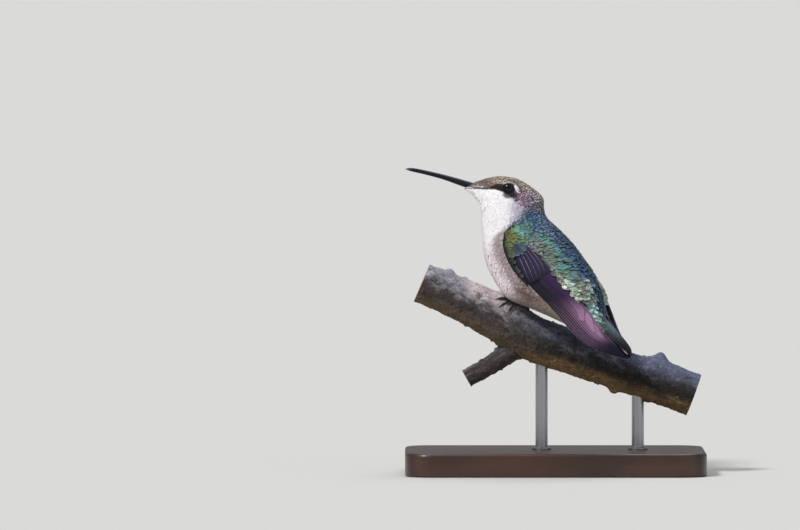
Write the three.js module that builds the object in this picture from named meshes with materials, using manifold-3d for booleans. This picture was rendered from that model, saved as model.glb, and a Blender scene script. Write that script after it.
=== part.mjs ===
// A ruby-throated hummingbird in female plumage, life size, sitting on a short cut length of
// branch that two rods hold over a flat base. Millimetres, +Z up. The origin is the middle of the
// base's underside. The branch runs along X, and the bill points toward −X.
import * as THREE from 'three';
import { mergeVertices } from 'three/addons/utils/BufferGeometryUtils.js';
import ManifoldModule from 'manifold-3d';

const manifold = await ManifoldModule();
manifold.setup();

// ---------------------------------------------------------------- driving dimensions

const DEG = Math.PI / 180;
const UP = new THREE.Vector3(0, 0, 1);
const GAP = 0.3; // clearance between neighbouring pieces

const BODY_YAW = 30 * DEG; // the trunk stands at this angle to the branch
const HEAD_TURN = 30 * DEG; // the head looks this far round to its own left
const FEET_X = -12.2; // where the bird's middle plane crosses the branch
const NECK_X = 5.1; // the upright axis that the head turns about, behind the feet

// The body's outline in its middle plane, from the bill's root to the tail coverts.
// back x, back z, breast x, breast z, half width, fullness toward the back, share of the turn
const BODY = [
  [-8.5, 75.6, -10.0, 73.4, 1.4, 0.0, 1],
  [-6.6, 76.3, -8.5, 72.2, 2.6, 0.05, 1],
  [-4.0, 76.9, -7.1, 70.2, 4.0, 0.12, 1],
  [-0.6, 77.2, -6.4, 68.1, 5.1, 0.16, 1],
  [3.3, 76.4, -6.3, 66.0, 5.7, 0.16, 1],
  [6.7, 74.4, -6.3, 63.8, 6.0, 0.12, 0.92],
  [9.4, 71.8, -6.2, 61.3, 6.2, 0.06, 0.75],
  [10.7, 68.9, -6.1, 58.6, 6.7, 0.0, 0.5],
  [12.0, 66.2, -5.9, 55.8, 7.3, -0.04, 0.25],
  [15.1, 63.1, -5.1, 53.1, 8.0, -0.08, 0.08],
  [19.2, 59.4, -3.6, 50.4, 8.4, -0.08, 0],
  [22.9, 55.0, -1.7, 47.6, 8.5, -0.08, 0],
  [25.7, 50.8, 0.8, 45.0, 8.2, -0.06, 0],
  [27.3, 47.3, 5.4, 43.4, 7.6, -0.04, 0],
  [28.0, 44.2, 11.6, 41.3, 6.7, 0, 0],
  [29.0, 41.5, 18.0, 38.8, 5.5, 0, 0],
  [30.4, 39.3, 23.8, 36.4, 4.1, 0, 0],
  [31.8, 37.4, 28.6, 35.3, 2.7, 0, 0],
  [32.7, 36.2, 31.3, 35.2, 1.2, 0, 0],
];
const HEAD_END = 6.4; // the thin cuts through the neck, counted in rows of BODY
const NECK_END = 8.6;
const HALF_CUT = 0.045;

const EYE = { x: 0.7, z: 74.1, radius: 1.85, proud: 0.5 };

// The bill's middle line: x, z, half depth, half width.
const BILL = [
  [-8.0, 74.4, 0.92, 1.15],
  [-11.6, 75.5, 0.84, 0.95],
  [-16.2, 76.95, 0.66, 0.72],
  [-21.0, 78.15, 0.56, 0.6],
  [-24.4, 78.8, 0.5, 0.48],
  [-25.7, 79.0, 0.32, 0.3],
];
const BILL_PARTING = 0.16;
const BILL_LOWER_SHARE = 0.42; // of the bill's depth, below the parting
const BILL_TOMIUM = 0.1; // share of half a turn left out beside the parting

// The folded wing's outer face. Lower edge x, z, y, then upper edge x, z, y, from the wrist.
const WING = [
  [3.7, 63.2, 7.6, 5.5, 64.7, 7.3],
  [3.9, 59.0, 8.8, 11.6, 59.1, 8.5],
  [6.9, 53.6, 9.5, 16.9, 53.9, 8.9],
  [11.5, 49.0, 9.4, 20.6, 49.5, 8.6],
  [16.2, 44.4, 8.9, 24.7, 45.8, 7.9],
  [20.7, 39.2, 7.9, 27.6, 42.1, 6.2],
  [24.7, 35.1, 6.4, 30.3, 37.7, 5.0],
  [28.6, 32.4, 4.9, 33.0, 34.5, 3.7],
  [32.4, 30.9, 3.2, 35.0, 32.2, 2.5],
  [35.6, 30.2, 1.6, 36.3, 30.6, 1.4],
];
const WING_THICK = { wrist: 0.7, arm: 1.1, hand: 0.8, tip: 0.55, filled: 2.4 };
const WING_ROOM = 0.38; // clearance between the wing and the flank
const HAND_STARTS = { lower: 3.0, upper: 2.35 }; // rows where the long feathers come clear
const HAND_STEP = 0.2; // the hand lies this much nearer the body than the arm
const WING_ARCH = 0.35; // how far the wing's middle stands out between its two edges

const TAIL = {
  root: [24.2, 45.6],
  tip: [35.0, 31.2],
  rootHalf: 2.2,
  half: 3.3,
  endHalf: 0.9,
  rounds: 0.55, // share of the length where the end starts to round off
  thick: 0.8,
  droop: 0.5,
};

// The branch's middle line and radius: x, z, radius.
const PERCH = [
  [-34.6, 49.4, 5.0],
  [-24.7, 45.1, 5.25],
  [-15.6, 40.7, 5.8],
  [-7.1, 35.4, 5.75],
  [1.3, 32.5, 5.7],
  [10.4, 29.2, 5.45],
  [19.0, 26.1, 5.2],
  [27.3, 23.4, 5.4],
  [36.0, 20.2, 5.5],
];
// Knots and buds: x, angle from the top toward the bird's left, height, spread.
const KNOBS = [
  [-29.5, 8, 0.9, 1.3],
  [-34.0, -40, 0.5, 1.6],
  [-16.0, 14, 0.7, 2.6],
  [-1.2, 40, 0.4, 1.2],
  [25.0, -6, 1.3, 1.8],
  [17.0, 168, 0.9, 1.7],
  [25.5, 190, 0.6, 1.2],
];
// The side twig's stub: x, z, radius.
const TWIG = [
  [-9.6, 33.6, 2.9],
  [-14.2, 29.6, 2.45],
  [-18.6, 27.0, 2.25],
  [-23.0, 24.5, 2.15],
];

const FOOT = { left: [-13.9, 20], right: [-11.6, -24] }; // x along the branch, angle from its top
const TOE = { root: 0.44, end: 0.34, claw: 0.26, arch: 0.35, clawStarts: 0.76, room: 0.36 };
// Where each toe's claw lies from the foot: along the branch, and the angle outward round it.
const TOE_REACHES = [
  [-3.4, 26],
  [-2.0, 42],
  [0.2, 46],
  [1.5, -30],
];
const ANKLE = { ball: 0.6, room: 0.4 };
const FOOT_ROOM = 0.42; // clearance that the belly leaves round the toes
const HIP = { x: 1.6, y: 3.1, z: 50.2 };
const LEG = { ankle: 0.52, thigh: 1.5, slimTo: 0.15, fullFrom: 0.8 };
const SEAT_ROOM = 0.45; // clearance between the belly and the branch

const BASE = { length: 78, width: 44, height: 6, corner: 6, bevel: 0.8 };
const ROD = { radius: 1.6, sides: 18, socket: 3, places: { left: -3.5, right: 21.5 } };

const COLOURS = {
  crown: 0x6b5a4a,
  throat: 0xe6e0e8,
  back: 0x3f7a5c,
  flight: 0x4a3a63,
  tail: 0x23403a,
  bill: 0x17181c,
  eye: 0x08080a,
  foot: 0x2c2724,
  bark: 0x6f6460,
  wood: 0x3a241a,
  steel: 0xb9bcc0,
};

// ---------------------------------------------------------------- building solids

// Reads a smooth curve through the rows of a table, at a place counted in rows.
function readRows(rows, place) {
  const last = rows.length - 1;
  const at = THREE.MathUtils.clamp(place, 0, last);
  const start = Math.min(Math.floor(at), last - 1);
  const t = at - start;
  const row = (index) => rows[THREE.MathUtils.clamp(index, 0, last)];
  return rows[0].map((_, column) => {
    const [a, b, c, d] = [-1, 0, 1, 2].map((step) => row(start + step)[column]);
    const bend = (2 * a - 5 * b + 4 * c - d) * t * t + (3 * b - a - 3 * c + d) * t * t * t;
    return 0.5 * (2 * b + (c - a) * t + bend);
  });
}

// The place in a table's rows where its first column, which only rises, reaches x.
function placeAtX(rows, x) {
  let low = 0;
  let high = rows.length - 1;
  for (let step = 0; step < 30; step += 1) {
    const middle = (low + high) / 2;
    if (readRows(rows, middle)[0] < x) low = middle;
    else high = middle;
  }
  return low;
}

function signedVolume(positions, faces) {
  const corner = (index) => new THREE.Vector3().fromArray(positions, index * 3);
  let sum = 0;
  for (const [a, b, c] of faces) sum += corner(a).dot(corner(b).cross(corner(c)));
  return sum / 6;
}

function geometryOf(positions, corners) {
  const geometry = new THREE.BufferGeometry();
  geometry.setAttribute('position', new THREE.Float32BufferAttribute(positions, 3));
  geometry.setIndex(corners);
  return geometry;
}

// A closed solid through rings that all have the same even number of points. Each end is closed
// by a ladder of faces from the first half of its ring to the second.
function solidThrough(rings) {
  const around = rings[0].length;
  const positions = rings.flat().flatMap((point) => point.toArray());
  const faces = [];
  for (let ring = 0; ring + 1 < rings.length; ring += 1) {
    for (let j = 0; j < around; j += 1) {
      const here = ring * around + j;
      const next = ring * around + ((j + 1) % around);
      faces.push([here, next, next + around], [here, next + around, here + around]);
    }
  }
  const last = (rings.length - 1) * around;
  for (let j = 0; j + 1 < around / 2; j += 1) {
    const far = around - 1 - j;
    faces.push([j + 1, j, far], [j + 1, far, far - 1]);
    faces.push([last + j, last + j + 1, last + far - 1], [last + j, last + far - 1, last + far]);
  }
  if (signedVolume(positions, faces) < 0) faces.forEach((face) => face.reverse());
  return geometryOf(positions, faces.flat());
}

// A round-sided solid along a path, with a radius at each of its points.
function tubeThrough(path, radii, sides) {
  const rings = path.map((point, index) => {
    const before = path[Math.max(index - 1, 0)];
    const after = path[Math.min(index + 1, path.length - 1)];
    const along = after.clone().sub(before).normalize();
    const side = along.clone().cross(new THREE.Vector3(0.31, 0.22, 0.92)).normalize();
    const up = side.clone().cross(along);
    return Array.from({ length: sides }, (_, step) => {
      const angle = ((step + 0.5) / sides) * 2 * Math.PI;
      const lift = up.clone().multiplyScalar(Math.cos(angle) * radii[index]);
      return point.clone().add(lift).addScaledVector(side, Math.sin(angle) * radii[index]);
    });
  });
  return solidThrough(rings);
}

function toManifold(geometry) {
  const bare = geometry.clone();
  bare.deleteAttribute('normal');
  bare.deleteAttribute('uv');
  const merged = mergeVertices(bare, 1e-5);
  return new manifold.Manifold(new manifold.Mesh({
    numProp: 3,
    vertProperties: new Float32Array(merged.attributes.position.array),
    triVerts: new Uint32Array(merged.index.array),
  }));
}

function toGeometry(solid) {
  const { vertProperties, triVerts } = solid.getMesh();
  return geometryOf(vertProperties, Array.from(triVerts));
}

function cut(geometry, ...tools) {
  let solid = toManifold(geometry);
  for (const tool of tools) solid = solid.subtract(toManifold(tool));
  return toGeometry(solid);
}

function join(geometry, ...others) {
  let solid = toManifold(geometry);
  for (const other of others) solid = solid.add(toManifold(other));
  return toGeometry(solid);
}

function ball(centre, radius, detail) {
  return new THREE.IcosahedronGeometry(radius, detail).translate(centre.x, centre.y, centre.z);
}

function uprightCylinder(radius, x, low, high) {
  const cylinder = new THREE.CylinderGeometry(radius, radius, high - low, ROD.sides);
  return cylinder.rotateX(Math.PI / 2).translate(x, 0, (low + high) / 2);
}

// ---------------------------------------------------------------- head, neck and trunk

function turnHead(point, turn) {
  point.x -= NECK_X;
  point.applyAxisAngle(UP, turn);
  point.x += NECK_X;
  return point;
}

function bodySection(place) {
  const [backX, backZ, breastX, breastZ, half, egg, share] = readRows(BODY, place);
  const back = new THREE.Vector2(backX, backZ);
  const breast = new THREE.Vector2(breastX, breastZ);
  const middle = back.clone().add(breast).multiplyScalar(0.5);
  return { back, breast, middle, reach: back.clone().sub(middle), half, egg, turn: share * HEAD_TURN };
}

// Angle 0 is the middle of the back, and half a turn is the middle of the breast.
function bodyPoint(section, angle) {
  const { middle, reach, half, egg, turn } = section;
  const across = half * Math.sin(angle) * (1 + egg * Math.cos(angle));
  const x = middle.x + reach.x * Math.cos(angle);
  const z = middle.y + reach.y * Math.cos(angle);
  return turnHead(new THREE.Vector3(x, across, z), turn);
}

function bodyPiece(from, to, ringCount, around) {
  const rings = Array.from({ length: ringCount }, (_, ring) => {
    const section = bodySection(from + ((to - from) * ring) / (ringCount - 1));
    return Array.from({ length: around }, (__, j) =>
      bodyPoint(section, ((j + 0.5) / around) * 2 * Math.PI));
  });
  return solidThrough(rings);
}

// The trunk's half width at a point of the side view, and 0 where the trunk doesn't reach.
function flankAt(x, z) {
  const point = new THREE.Vector2(x, z);
  const sideOf = (place) => {
    const { back, breast } = bodySection(place);
    return back.clone().sub(breast).cross(point.clone().sub(breast));
  };
  let low = HEAD_END;
  let high = BODY.length - 1;
  const startSide = Math.sign(sideOf(low));
  if (Math.sign(sideOf(high)) === startSide) return 0;
  for (let step = 0; step < 24; step += 1) {
    const place = (low + high) / 2;
    if (Math.sign(sideOf(place)) === startSide) low = place;
    else high = place;
  }
  const { middle, reach, half, egg } = bodySection(low);
  const share = point.sub(middle).dot(reach) / reach.lengthSq();
  if (Math.abs(share) >= 1) return 0;
  return half * Math.sqrt(1 - share * share) * (1 + egg * share);
}

// ---------------------------------------------------------------- eyes and bill

// The eyeball's centre: its outer face stands a little proud of the side of the head.
function eyeCentre(side) {
  let best = 0;
  for (let place = 1; place < HEAD_END; place += 0.02) {
    const { middle, reach, half, egg } = bodySection(place);
    const offset = new THREE.Vector2(EYE.x, EYE.z).sub(middle);
    const slip = Math.abs(offset.cross(reach)) / reach.length();
    const share = offset.dot(reach) / reach.lengthSq();
    if (slip < 0.05 && Math.abs(share) < 1) {
      best = Math.max(best, half * Math.sqrt(1 - share * share) * (1 + egg * share));
    }
  }
  const across = side * (best + EYE.proud - EYE.radius);
  return turnHead(new THREE.Vector3(EYE.x, across, EYE.z), HEAD_TURN);
}

// One of the bill's halves, or with spread both as one solid that is a little larger.
function billPiece(half, spread = 0) {
  const columns = 6;
  const ringCount = 10;
  const rings = Array.from({ length: ringCount }, (_, ring) => {
    const place = (ring / (ringCount - 1)) * (BILL.length - 1);
    const [x, z, halfDepth, halfWidth] = readRows(BILL, place);
    const [nearX, nearZ] = readRows(BILL, place - 0.05);
    const [farX, farZ] = readRows(BILL, place + 0.05);
    const along = new THREE.Vector2(farX - nearX, farZ - nearZ).normalize();
    const parting = (2 * BILL_LOWER_SHARE - 1) * halfDepth;
    const pointAt = (sweep, lift) => {
      const y = -(halfWidth + spread) * Math.cos(sweep);
      return turnHead(new THREE.Vector3(x + along.y * lift, y, z - along.x * lift), HEAD_TURN);
    };
    const edgeOf = (side, sweep) => {
      const rise = halfDepth - side * parting - BILL_PARTING / 2 + spread;
      return pointAt(sweep, parting + side * (BILL_PARTING / 2 + rise * Math.sin(sweep)));
    };
    const flatOf = (sweep) => pointAt(sweep, parting + (half * BILL_PARTING) / 2);
    const sweeps = Array.from({ length: columns }, (__, j) =>
      Math.PI * THREE.MathUtils.lerp(BILL_TOMIUM, 1 - BILL_TOMIUM, j / (columns - 1)));
    const first = sweeps.map((sweep) => edgeOf(half === 0 ? 1 : half, sweep));
    const second = sweeps.map((sweep) => (half === 0 ? edgeOf(-1, sweep) : flatOf(sweep)));
    return [...first, ...second.reverse()];
  });
  return solidThrough(rings);
}

// ---------------------------------------------------------------- wings and tail

// The folded wing's thickness at a place along its rows.
function wingThickness(place) {
  const { wrist, arm, hand, tip } = WING_THICK;
  if (place < 1) return THREE.MathUtils.lerp(wrist, arm, place);
  if (place < HAND_STARTS.lower) return arm;
  const share = (place - HAND_STARTS.lower) / (WING.length - 1 - HAND_STARTS.lower);
  return THREE.MathUtils.lerp(hand, tip, share);
}

// The outer and inner points of the folded wing. Across is 0 at the lower edge and 1 at the upper.
// The inner face follows the flank, as far in as the filling goes.
function wingPoints(side, place, across, step, filling) {
  const [lowX, lowZ, lowY, highX, highZ, highY] = readRows(WING, place);
  const x = THREE.MathUtils.lerp(lowX, highX, across);
  const z = THREE.MathUtils.lerp(lowZ, highZ, across);
  const thick = wingThickness(place);
  const arch = WING_ARCH * 4 * across * (1 - across);
  const sheet = THREE.MathUtils.lerp(lowY, highY, across) + arch - step;
  const flank = flankAt(x, z) + WING_ROOM;
  const outer = Math.max(sheet, flank + thick);
  const inner = THREE.MathUtils.clamp(flank, outer - Math.max(filling, thick), outer - thick);
  return [new THREE.Vector3(x, side * outer, z), new THREE.Vector3(x, side * inner, z)];
}

function wingPiece(side, startsAt, endsAt, step, filling, ringCount) {
  const columns = 7;
  const rings = Array.from({ length: ringCount }, (_, ring) => {
    const share = ring / (ringCount - 1);
    const pairs = Array.from({ length: columns }, (__, j) => {
      const across = j / (columns - 1);
      const place = THREE.MathUtils.lerp(startsAt(across), endsAt(across), share);
      return wingPoints(side, place, across, step, filling);
    });
    return [...pairs.map(([outer]) => outer), ...pairs.map(([, inner]) => inner).reverse()];
  });
  return solidThrough(rings);
}

function handStart(across) {
  return THREE.MathUtils.lerp(HAND_STARTS.lower, HAND_STARTS.upper, across);
}

function armPiece(side) {
  return wingPiece(side, () => 0, (across) => handStart(across) - HALF_CUT, 0, WING_THICK.filled, 11);
}

function handPiece(side) {
  const last = WING.length - 1;
  return wingPiece(side, (across) => handStart(across) + HALF_CUT, () => last, HAND_STEP, 0, 15);
}

function tailPiece(spread = 0) {
  const root = new THREE.Vector2(...TAIL.root);
  const tip = new THREE.Vector2(...TAIL.tip);
  const along = tip.clone().sub(root).normalize();
  root.addScaledVector(along, -spread);
  const columns = 7;
  const ringCount = 12;
  const rings = Array.from({ length: ringCount }, (_, ring) => {
    const share = ring / (ringCount - 1);
    const line = root.clone().lerp(tip, share);
    const fanned = THREE.MathUtils.smoothstep(share, 0, 0.5);
    const widen = THREE.MathUtils.lerp(TAIL.rootHalf, TAIL.half, fanned);
    const rounding = Math.max((share - TAIL.rounds) / (1 - TAIL.rounds), 0);
    const half = TAIL.endHalf + (widen - TAIL.endHalf) * Math.sqrt(1 - rounding ** 2) + spread;
    const row = (drop) => Array.from({ length: columns }, (__, j) => {
      const across = (2 * j) / (columns - 1) - 1;
      const sink = drop + TAIL.droop * across * across;
      return new THREE.Vector3(line.x + along.y * sink, half * across, line.y - along.x * sink);
    });
    return [...row(-spread), ...row(TAIL.thick + spread).reverse()];
  });
  return solidThrough(rings);
}

// ---------------------------------------------------------------- branch, feet and legs

function knobHeight(x, angle, radius) {
  let height = 0;
  for (const [knobX, knobAngle, tall, spread] of KNOBS) {
    const turn = Math.atan2(Math.sin(angle - knobAngle * DEG), Math.cos(angle - knobAngle * DEG));
    const away = Math.hypot(x - knobX, radius * turn) / spread;
    height += tall * Math.exp(-away * away);
  }
  return height;
}

// A point on the branch. The angle goes from its top toward −Y, and lift is outward.
function branchPoint(rows, place, angle, lift, knobby) {
  const [x, z, radius] = readRows(rows, place);
  const [nearX, nearZ] = readRows(rows, place - 0.05);
  const [farX, farZ] = readRows(rows, place + 0.05);
  const along = new THREE.Vector2(farX - nearX, farZ - nearZ).normalize();
  const up = Math.sign(along.x);
  const reach = radius + lift + (knobby ? knobHeight(x, angle, radius) : 0);
  const rise = reach * Math.cos(angle) * up;
  return new THREE.Vector3(x - along.y * rise, -reach * Math.sin(angle), z + along.x * rise);
}

function branchPiece(rows, ringCount, around, lift, knobby) {
  const rings = Array.from({ length: ringCount }, (_, ring) => {
    const place = (ring / (ringCount - 1)) * (rows.length - 1);
    return Array.from({ length: around }, (__, j) =>
      branchPoint(rows, place, ((j + 0.5) / around) * 2 * Math.PI, lift, knobby));
  });
  return solidThrough(rings);
}

function perchPoint(x, degrees, lift) {
  return branchPoint(PERCH, placeAtX(PERCH, x), degrees * DEG, lift, true);
}

// A toe that arches over the branch and ends in a claw, from the foot's own place.
function toePiece([footX, footAngle], [reachX, reachAngle], spread) {
  const steps = spread > 0 ? 5 : 7;
  const radii = [];
  const path = Array.from({ length: steps }, (_, step) => {
    const share = step / (steps - 1);
    const fleshy = Math.min(share / TOE.clawStarts, 1);
    const radius = fleshy < 1 ? THREE.MathUtils.lerp(TOE.root, TOE.end, fleshy) : TOE.claw;
    radii.push(radius + spread);
    const lift = TOE.room + radius + TOE.arch * Math.sin(Math.PI * fleshy);
    return perchPoint(footX + reachX * share, footAngle + reachAngle * share, lift);
  });
  return tubeThrough(path, radii, spread > 0 ? 5 : 6);
}

function footCentre([footX, footAngle]) {
  return perchPoint(footX, footAngle, ANKLE.room + ANKLE.ball);
}

// The branch's angle grows toward the bird's left, so the left foot's toes reach that way.
function footPiece(side, spread = 0) {
  const foot = side < 0 ? FOOT.left : FOOT.right;
  const toes = TOE_REACHES.map(([along, outward]) => toePiece(foot, [along, -side * outward], spread));
  return join(ball(footCentre(foot), ANKLE.ball + spread, spread > 0 ? 0 : 1), ...toes);
}

// A leg from just over the ankle up to the hip, which lies inside the flank.
function legPiece(side, spread = 0) {
  const ankle = footCentre(side < 0 ? FOOT.left : FOOT.right);
  const hip = new THREE.Vector3(HIP.x, side * HIP.y, HIP.z).applyMatrix4(birdPose);
  const along = hip.clone().sub(ankle).normalize();
  ankle.addScaledVector(along, ANKLE.ball + GAP - spread);
  hip.addScaledVector(along, spread);
  const steps = 6;
  const path = Array.from({ length: steps }, (_, step) => ankle.clone().lerp(hip, step / (steps - 1)));
  const radii = path.map((_, step) => {
    const share = THREE.MathUtils.smoothstep(step / (steps - 1), LEG.slimTo, LEG.fullFrom);
    return THREE.MathUtils.lerp(LEG.ankle, LEG.thigh, share) + spread;
  });
  return tubeThrough(path, radii, 10);
}

// ---------------------------------------------------------------- stand

function rodReach(x) {
  const underside = perchPoint(x, 180, 0).z;
  return { low: BASE.height - ROD.socket, high: underside + ROD.socket };
}

function rodPiece(x, spread = 0) {
  const { low, high } = rodReach(x);
  return uprightCylinder(ROD.radius + spread, x, low - spread, high + spread);
}

function basePiece() {
  const { length, width, height, corner, bevel } = BASE;
  const halfX = length / 2 - bevel;
  const halfY = width / 2 - bevel;
  const outline = new THREE.Shape();
  const corners = [[1, 1, 0], [-1, 1, 90], [-1, -1, 180], [1, -1, 270]];
  for (const [signX, signY, start] of corners) {
    const centreX = signX * (halfX - corner);
    const centreY = signY * (halfY - corner);
    outline.absarc(centreX, centreY, corner, start * DEG, (start + 90) * DEG, false);
  }
  outline.closePath();
  const plate = new THREE.ExtrudeGeometry(outline, {
    depth: height - 2 * bevel,
    bevelThickness: bevel,
    bevelSize: bevel,
    bevelSegments: 1,
    curveSegments: 4,
  });
  return plate.translate(0, 0, bevel);
}

// ---------------------------------------------------------------- the model

const model = new THREE.Group();
const bird = new THREE.Group();
bird.position.x = FEET_X;
bird.rotation.z = -BODY_YAW;
bird.updateMatrix();
const birdPose = bird.matrix.clone();
const toBird = birdPose.clone().invert();
model.add(bird);

function addMesh(parent, name, geometry, colour, roughness, metalness = 0) {
  const material = new THREE.MeshStandardMaterial({ color: colour, roughness, metalness, flatShading: true });
  const mesh = new THREE.Mesh(geometry, material);
  mesh.name = name;
  parent.add(mesh);
}

function addHead() {
  const sockets = [-1, 1].map((side) => ball(eyeCentre(side), EYE.radius + GAP, 2));
  const skull = bodyPiece(0, HEAD_END - HALF_CUT, 19, 22);
  addMesh(bird, 'head', cut(skull, billPiece(0, GAP), ...sockets), COLOURS.crown, 0.8);
  addMesh(bird, 'eye_left', ball(eyeCentre(-1), EYE.radius, 2), COLOURS.eye, 0.1);
  addMesh(bird, 'eye_right', ball(eyeCentre(1), EYE.radius, 2), COLOURS.eye, 0.1);
  addMesh(bird, 'bill_upper', billPiece(1), COLOURS.bill, 0.4);
  addMesh(bird, 'bill_lower', billPiece(-1), COLOURS.bill, 0.4);
}

function addBody() {
  addMesh(bird, 'neck', bodyPiece(HEAD_END + HALF_CUT, NECK_END - HALF_CUT, 7, 22), COLOURS.throat, 0.8);
  const whole = bodyPiece(NECK_END + HALF_CUT, BODY.length - 1, 20, 20);
  const seat = branchPiece(PERCH, 23, 14, SEAT_ROOM, true);
  const legs = [-1, 1].flatMap((side) => [legPiece(side, GAP), footPiece(side, FOOT_ROOM)]);
  const room = [seat, ...legs].map((geometry) => geometry.applyMatrix4(toBird));
  addMesh(bird, 'trunk', cut(whole, ...room, tailPiece(GAP)), COLOURS.back, 0.7);
  addMesh(bird, 'tail', tailPiece(), COLOURS.tail, 0.5);
}

function addWings() {
  for (const [name, side] of [['left', -1], ['right', 1]]) {
    addMesh(bird, `wing_${name}`, armPiece(side), COLOURS.back, 0.6);
    addMesh(bird, `wing_tip_${name}`, handPiece(side), COLOURS.flight, 0.5);
  }
}

function addLegs() {
  for (const [name, side] of [['left', -1], ['right', 1]]) {
    addMesh(model, `leg_${name}`, legPiece(side), COLOURS.foot, 0.7);
    addMesh(model, `foot_${name}`, footPiece(side), COLOURS.foot, 0.6);
  }
}

function addPerch() {
  const branch = branchPiece(PERCH, 36, 16, 0, true);
  const twig = branchPiece(TWIG, 7, 12, 0, false);
  const sockets = Object.values(ROD.places).map((x) => rodPiece(x, GAP));
  addMesh(model, 'perch', cut(join(branch, twig), ...sockets), COLOURS.bark, 0.9);
}

function addStand() {
  const sockets = Object.values(ROD.places).map((x) => rodPiece(x, GAP));
  addMesh(model, 'stand_base', cut(basePiece(), ...sockets), COLOURS.wood, 0.4);
  for (const [name, x] of Object.entries(ROD.places)) {
    addMesh(model, `stand_rod_${name}`, rodPiece(x), COLOURS.steel, 0.3, 1);
  }
}

addHead();
addBody();
addWings();
addLegs();
addPerch();
addStand();

export default model;
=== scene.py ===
"""A life-size hummingbird in female plumage, on a cut length of branch over a display stand."""

import math

import bpy
import numpy as np
from bpy.props import FloatProperty, FloatVectorProperty, IntProperty, PointerProperty
from bpy.types import Operator, Panel, PropertyGroup
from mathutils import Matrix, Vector, noise


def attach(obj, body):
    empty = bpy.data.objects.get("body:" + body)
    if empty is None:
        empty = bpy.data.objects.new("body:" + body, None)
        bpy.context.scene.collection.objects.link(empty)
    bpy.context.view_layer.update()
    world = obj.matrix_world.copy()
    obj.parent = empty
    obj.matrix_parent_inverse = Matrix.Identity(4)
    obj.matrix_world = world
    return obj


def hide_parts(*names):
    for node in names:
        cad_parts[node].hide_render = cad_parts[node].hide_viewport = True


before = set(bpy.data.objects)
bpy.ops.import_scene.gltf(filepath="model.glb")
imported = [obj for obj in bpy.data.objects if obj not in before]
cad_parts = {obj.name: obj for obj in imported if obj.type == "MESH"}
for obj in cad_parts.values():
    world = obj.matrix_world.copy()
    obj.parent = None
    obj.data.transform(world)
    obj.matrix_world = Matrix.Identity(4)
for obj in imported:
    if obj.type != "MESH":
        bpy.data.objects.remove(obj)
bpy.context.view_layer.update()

bl_info = {
    "name": "Hummingbird on a perch",
    "version": (1, 0, 0),
    "blender": (4, 5, 0),
    "location": "View3D > Sidebar > Hummingbird",
    "description": "Builds a feathered hummingbird, its perch and its display stand",
    "category": "Add Mesh",
}

# --- the bird's own measures, mm

MM = 0.001
BODY_YAW = math.radians(30)
HEAD_TURN = math.radians(30)
FEET_X = -12.2
NECK_X = 5.1
SIDES = {"left": -1, "right": 1}

# The outline in the middle plane: back x, z, breast x, z, half width, fullness, share of the turn.
BODY = np.array([
    [-8.6, 75.5, -10.9, 73.7, 1.3, 0.0, 1],
    [-6.6, 76.15, -8.6, 72.2, 2.5, 0.05, 1],
    [-4.0, 76.9, -7.1, 70.2, 4.0, 0.12, 1],
    [-0.6, 77.2, -6.4, 68.1, 5.1, 0.16, 1],
    [3.3, 76.4, -6.3, 66.0, 5.7, 0.16, 1],
    [6.7, 74.4, -6.3, 63.8, 6.0, 0.12, 0.92],
    [9.7, 71.7, -6.2, 61.3, 6.2, 0.06, 0.75],
    [10.0, 68.8, -6.1, 58.6, 6.6, 0.0, 0.5],
    [11.0, 66.4, -5.9, 55.8, 7.3, -0.04, 0.25],
    [15.1, 63.1, -5.1, 53.1, 8.0, -0.08, 0.08],
    [19.2, 59.4, -3.6, 50.4, 8.4, -0.08, 0],
    [22.9, 55.0, -1.7, 47.6, 8.5, -0.08, 0],
    [25.7, 50.8, 0.8, 45.0, 8.2, -0.06, 0],
    [27.3, 47.3, 5.4, 43.4, 7.6, -0.04, 0],
    [28.0, 44.2, 11.6, 41.3, 6.7, 0, 0],
    [29.0, 41.5, 18.0, 38.8, 5.5, 0, 0],
    [30.4, 39.3, 23.8, 36.4, 4.1, 0, 0],
    [31.8, 37.4, 28.6, 35.3, 2.7, 0, 0],
    [32.7, 36.2, 31.3, 35.2, 1.2, 0, 0],
])
TRUNK_FROM, TRUNK_TO = 6.4, 18.0
# Steps of the search for the place where a table's line passes through a point.
HALVINGS = 22

EYE = {"x": 0.7, "z": 74.1, "radius": 1.85, "proud": 0.42}
# The lids' outer edge, as a distance from the eye that is 1 at the opening between them.
LID_EDGE = 1.1
BROW = {"x": 0.8, "z": 75.15, "height": 0.62, "reach": 1.5}

# The bill's middle line: x, z, half depth, half width.
BILL = np.array([
    [-8.0, 74.4, 0.92, 1.15],
    [-11.6, 75.5, 0.84, 0.95],
    [-16.2, 76.95, 0.66, 0.72],
    [-21.0, 78.15, 0.56, 0.6],
    [-24.4, 78.85, 0.5, 0.48],
    [-25.95, 79.05, 0.4, 0.34],
])

# The folded wing's outer face: lower edge x, z, y, upper edge x, z, y, from the wrist to the tip.
WING = np.array([
    [3.7, 63.2, 7.6, 5.5, 64.7, 7.3],
    [3.9, 59.0, 8.8, 11.6, 59.1, 8.5],
    [6.9, 53.6, 9.5, 16.9, 53.9, 8.9],
    [11.5, 49.0, 9.4, 20.6, 49.5, 8.6],
    [16.2, 44.4, 8.9, 24.7, 45.8, 7.9],
    [20.7, 39.2, 7.9, 27.6, 42.1, 6.2],
    [24.7, 35.1, 6.4, 30.3, 37.7, 5.0],
    [28.6, 32.4, 4.9, 33.0, 34.5, 3.7],
    [32.4, 30.9, 3.2, 35.0, 32.2, 2.5],
    [35.6, 30.2, 1.6, 36.3, 30.6, 1.4],
])
WING_THICK = 1.1
# The least room between the wing and the flank, and how far the wing's face arches out.
WING_ROOM = 0.38
WING_ARCH = 0.35
# The places where the wing's hand starts, at its lower and its upper edge.
HAND_STARTS = (3.0, 2.35)

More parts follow.
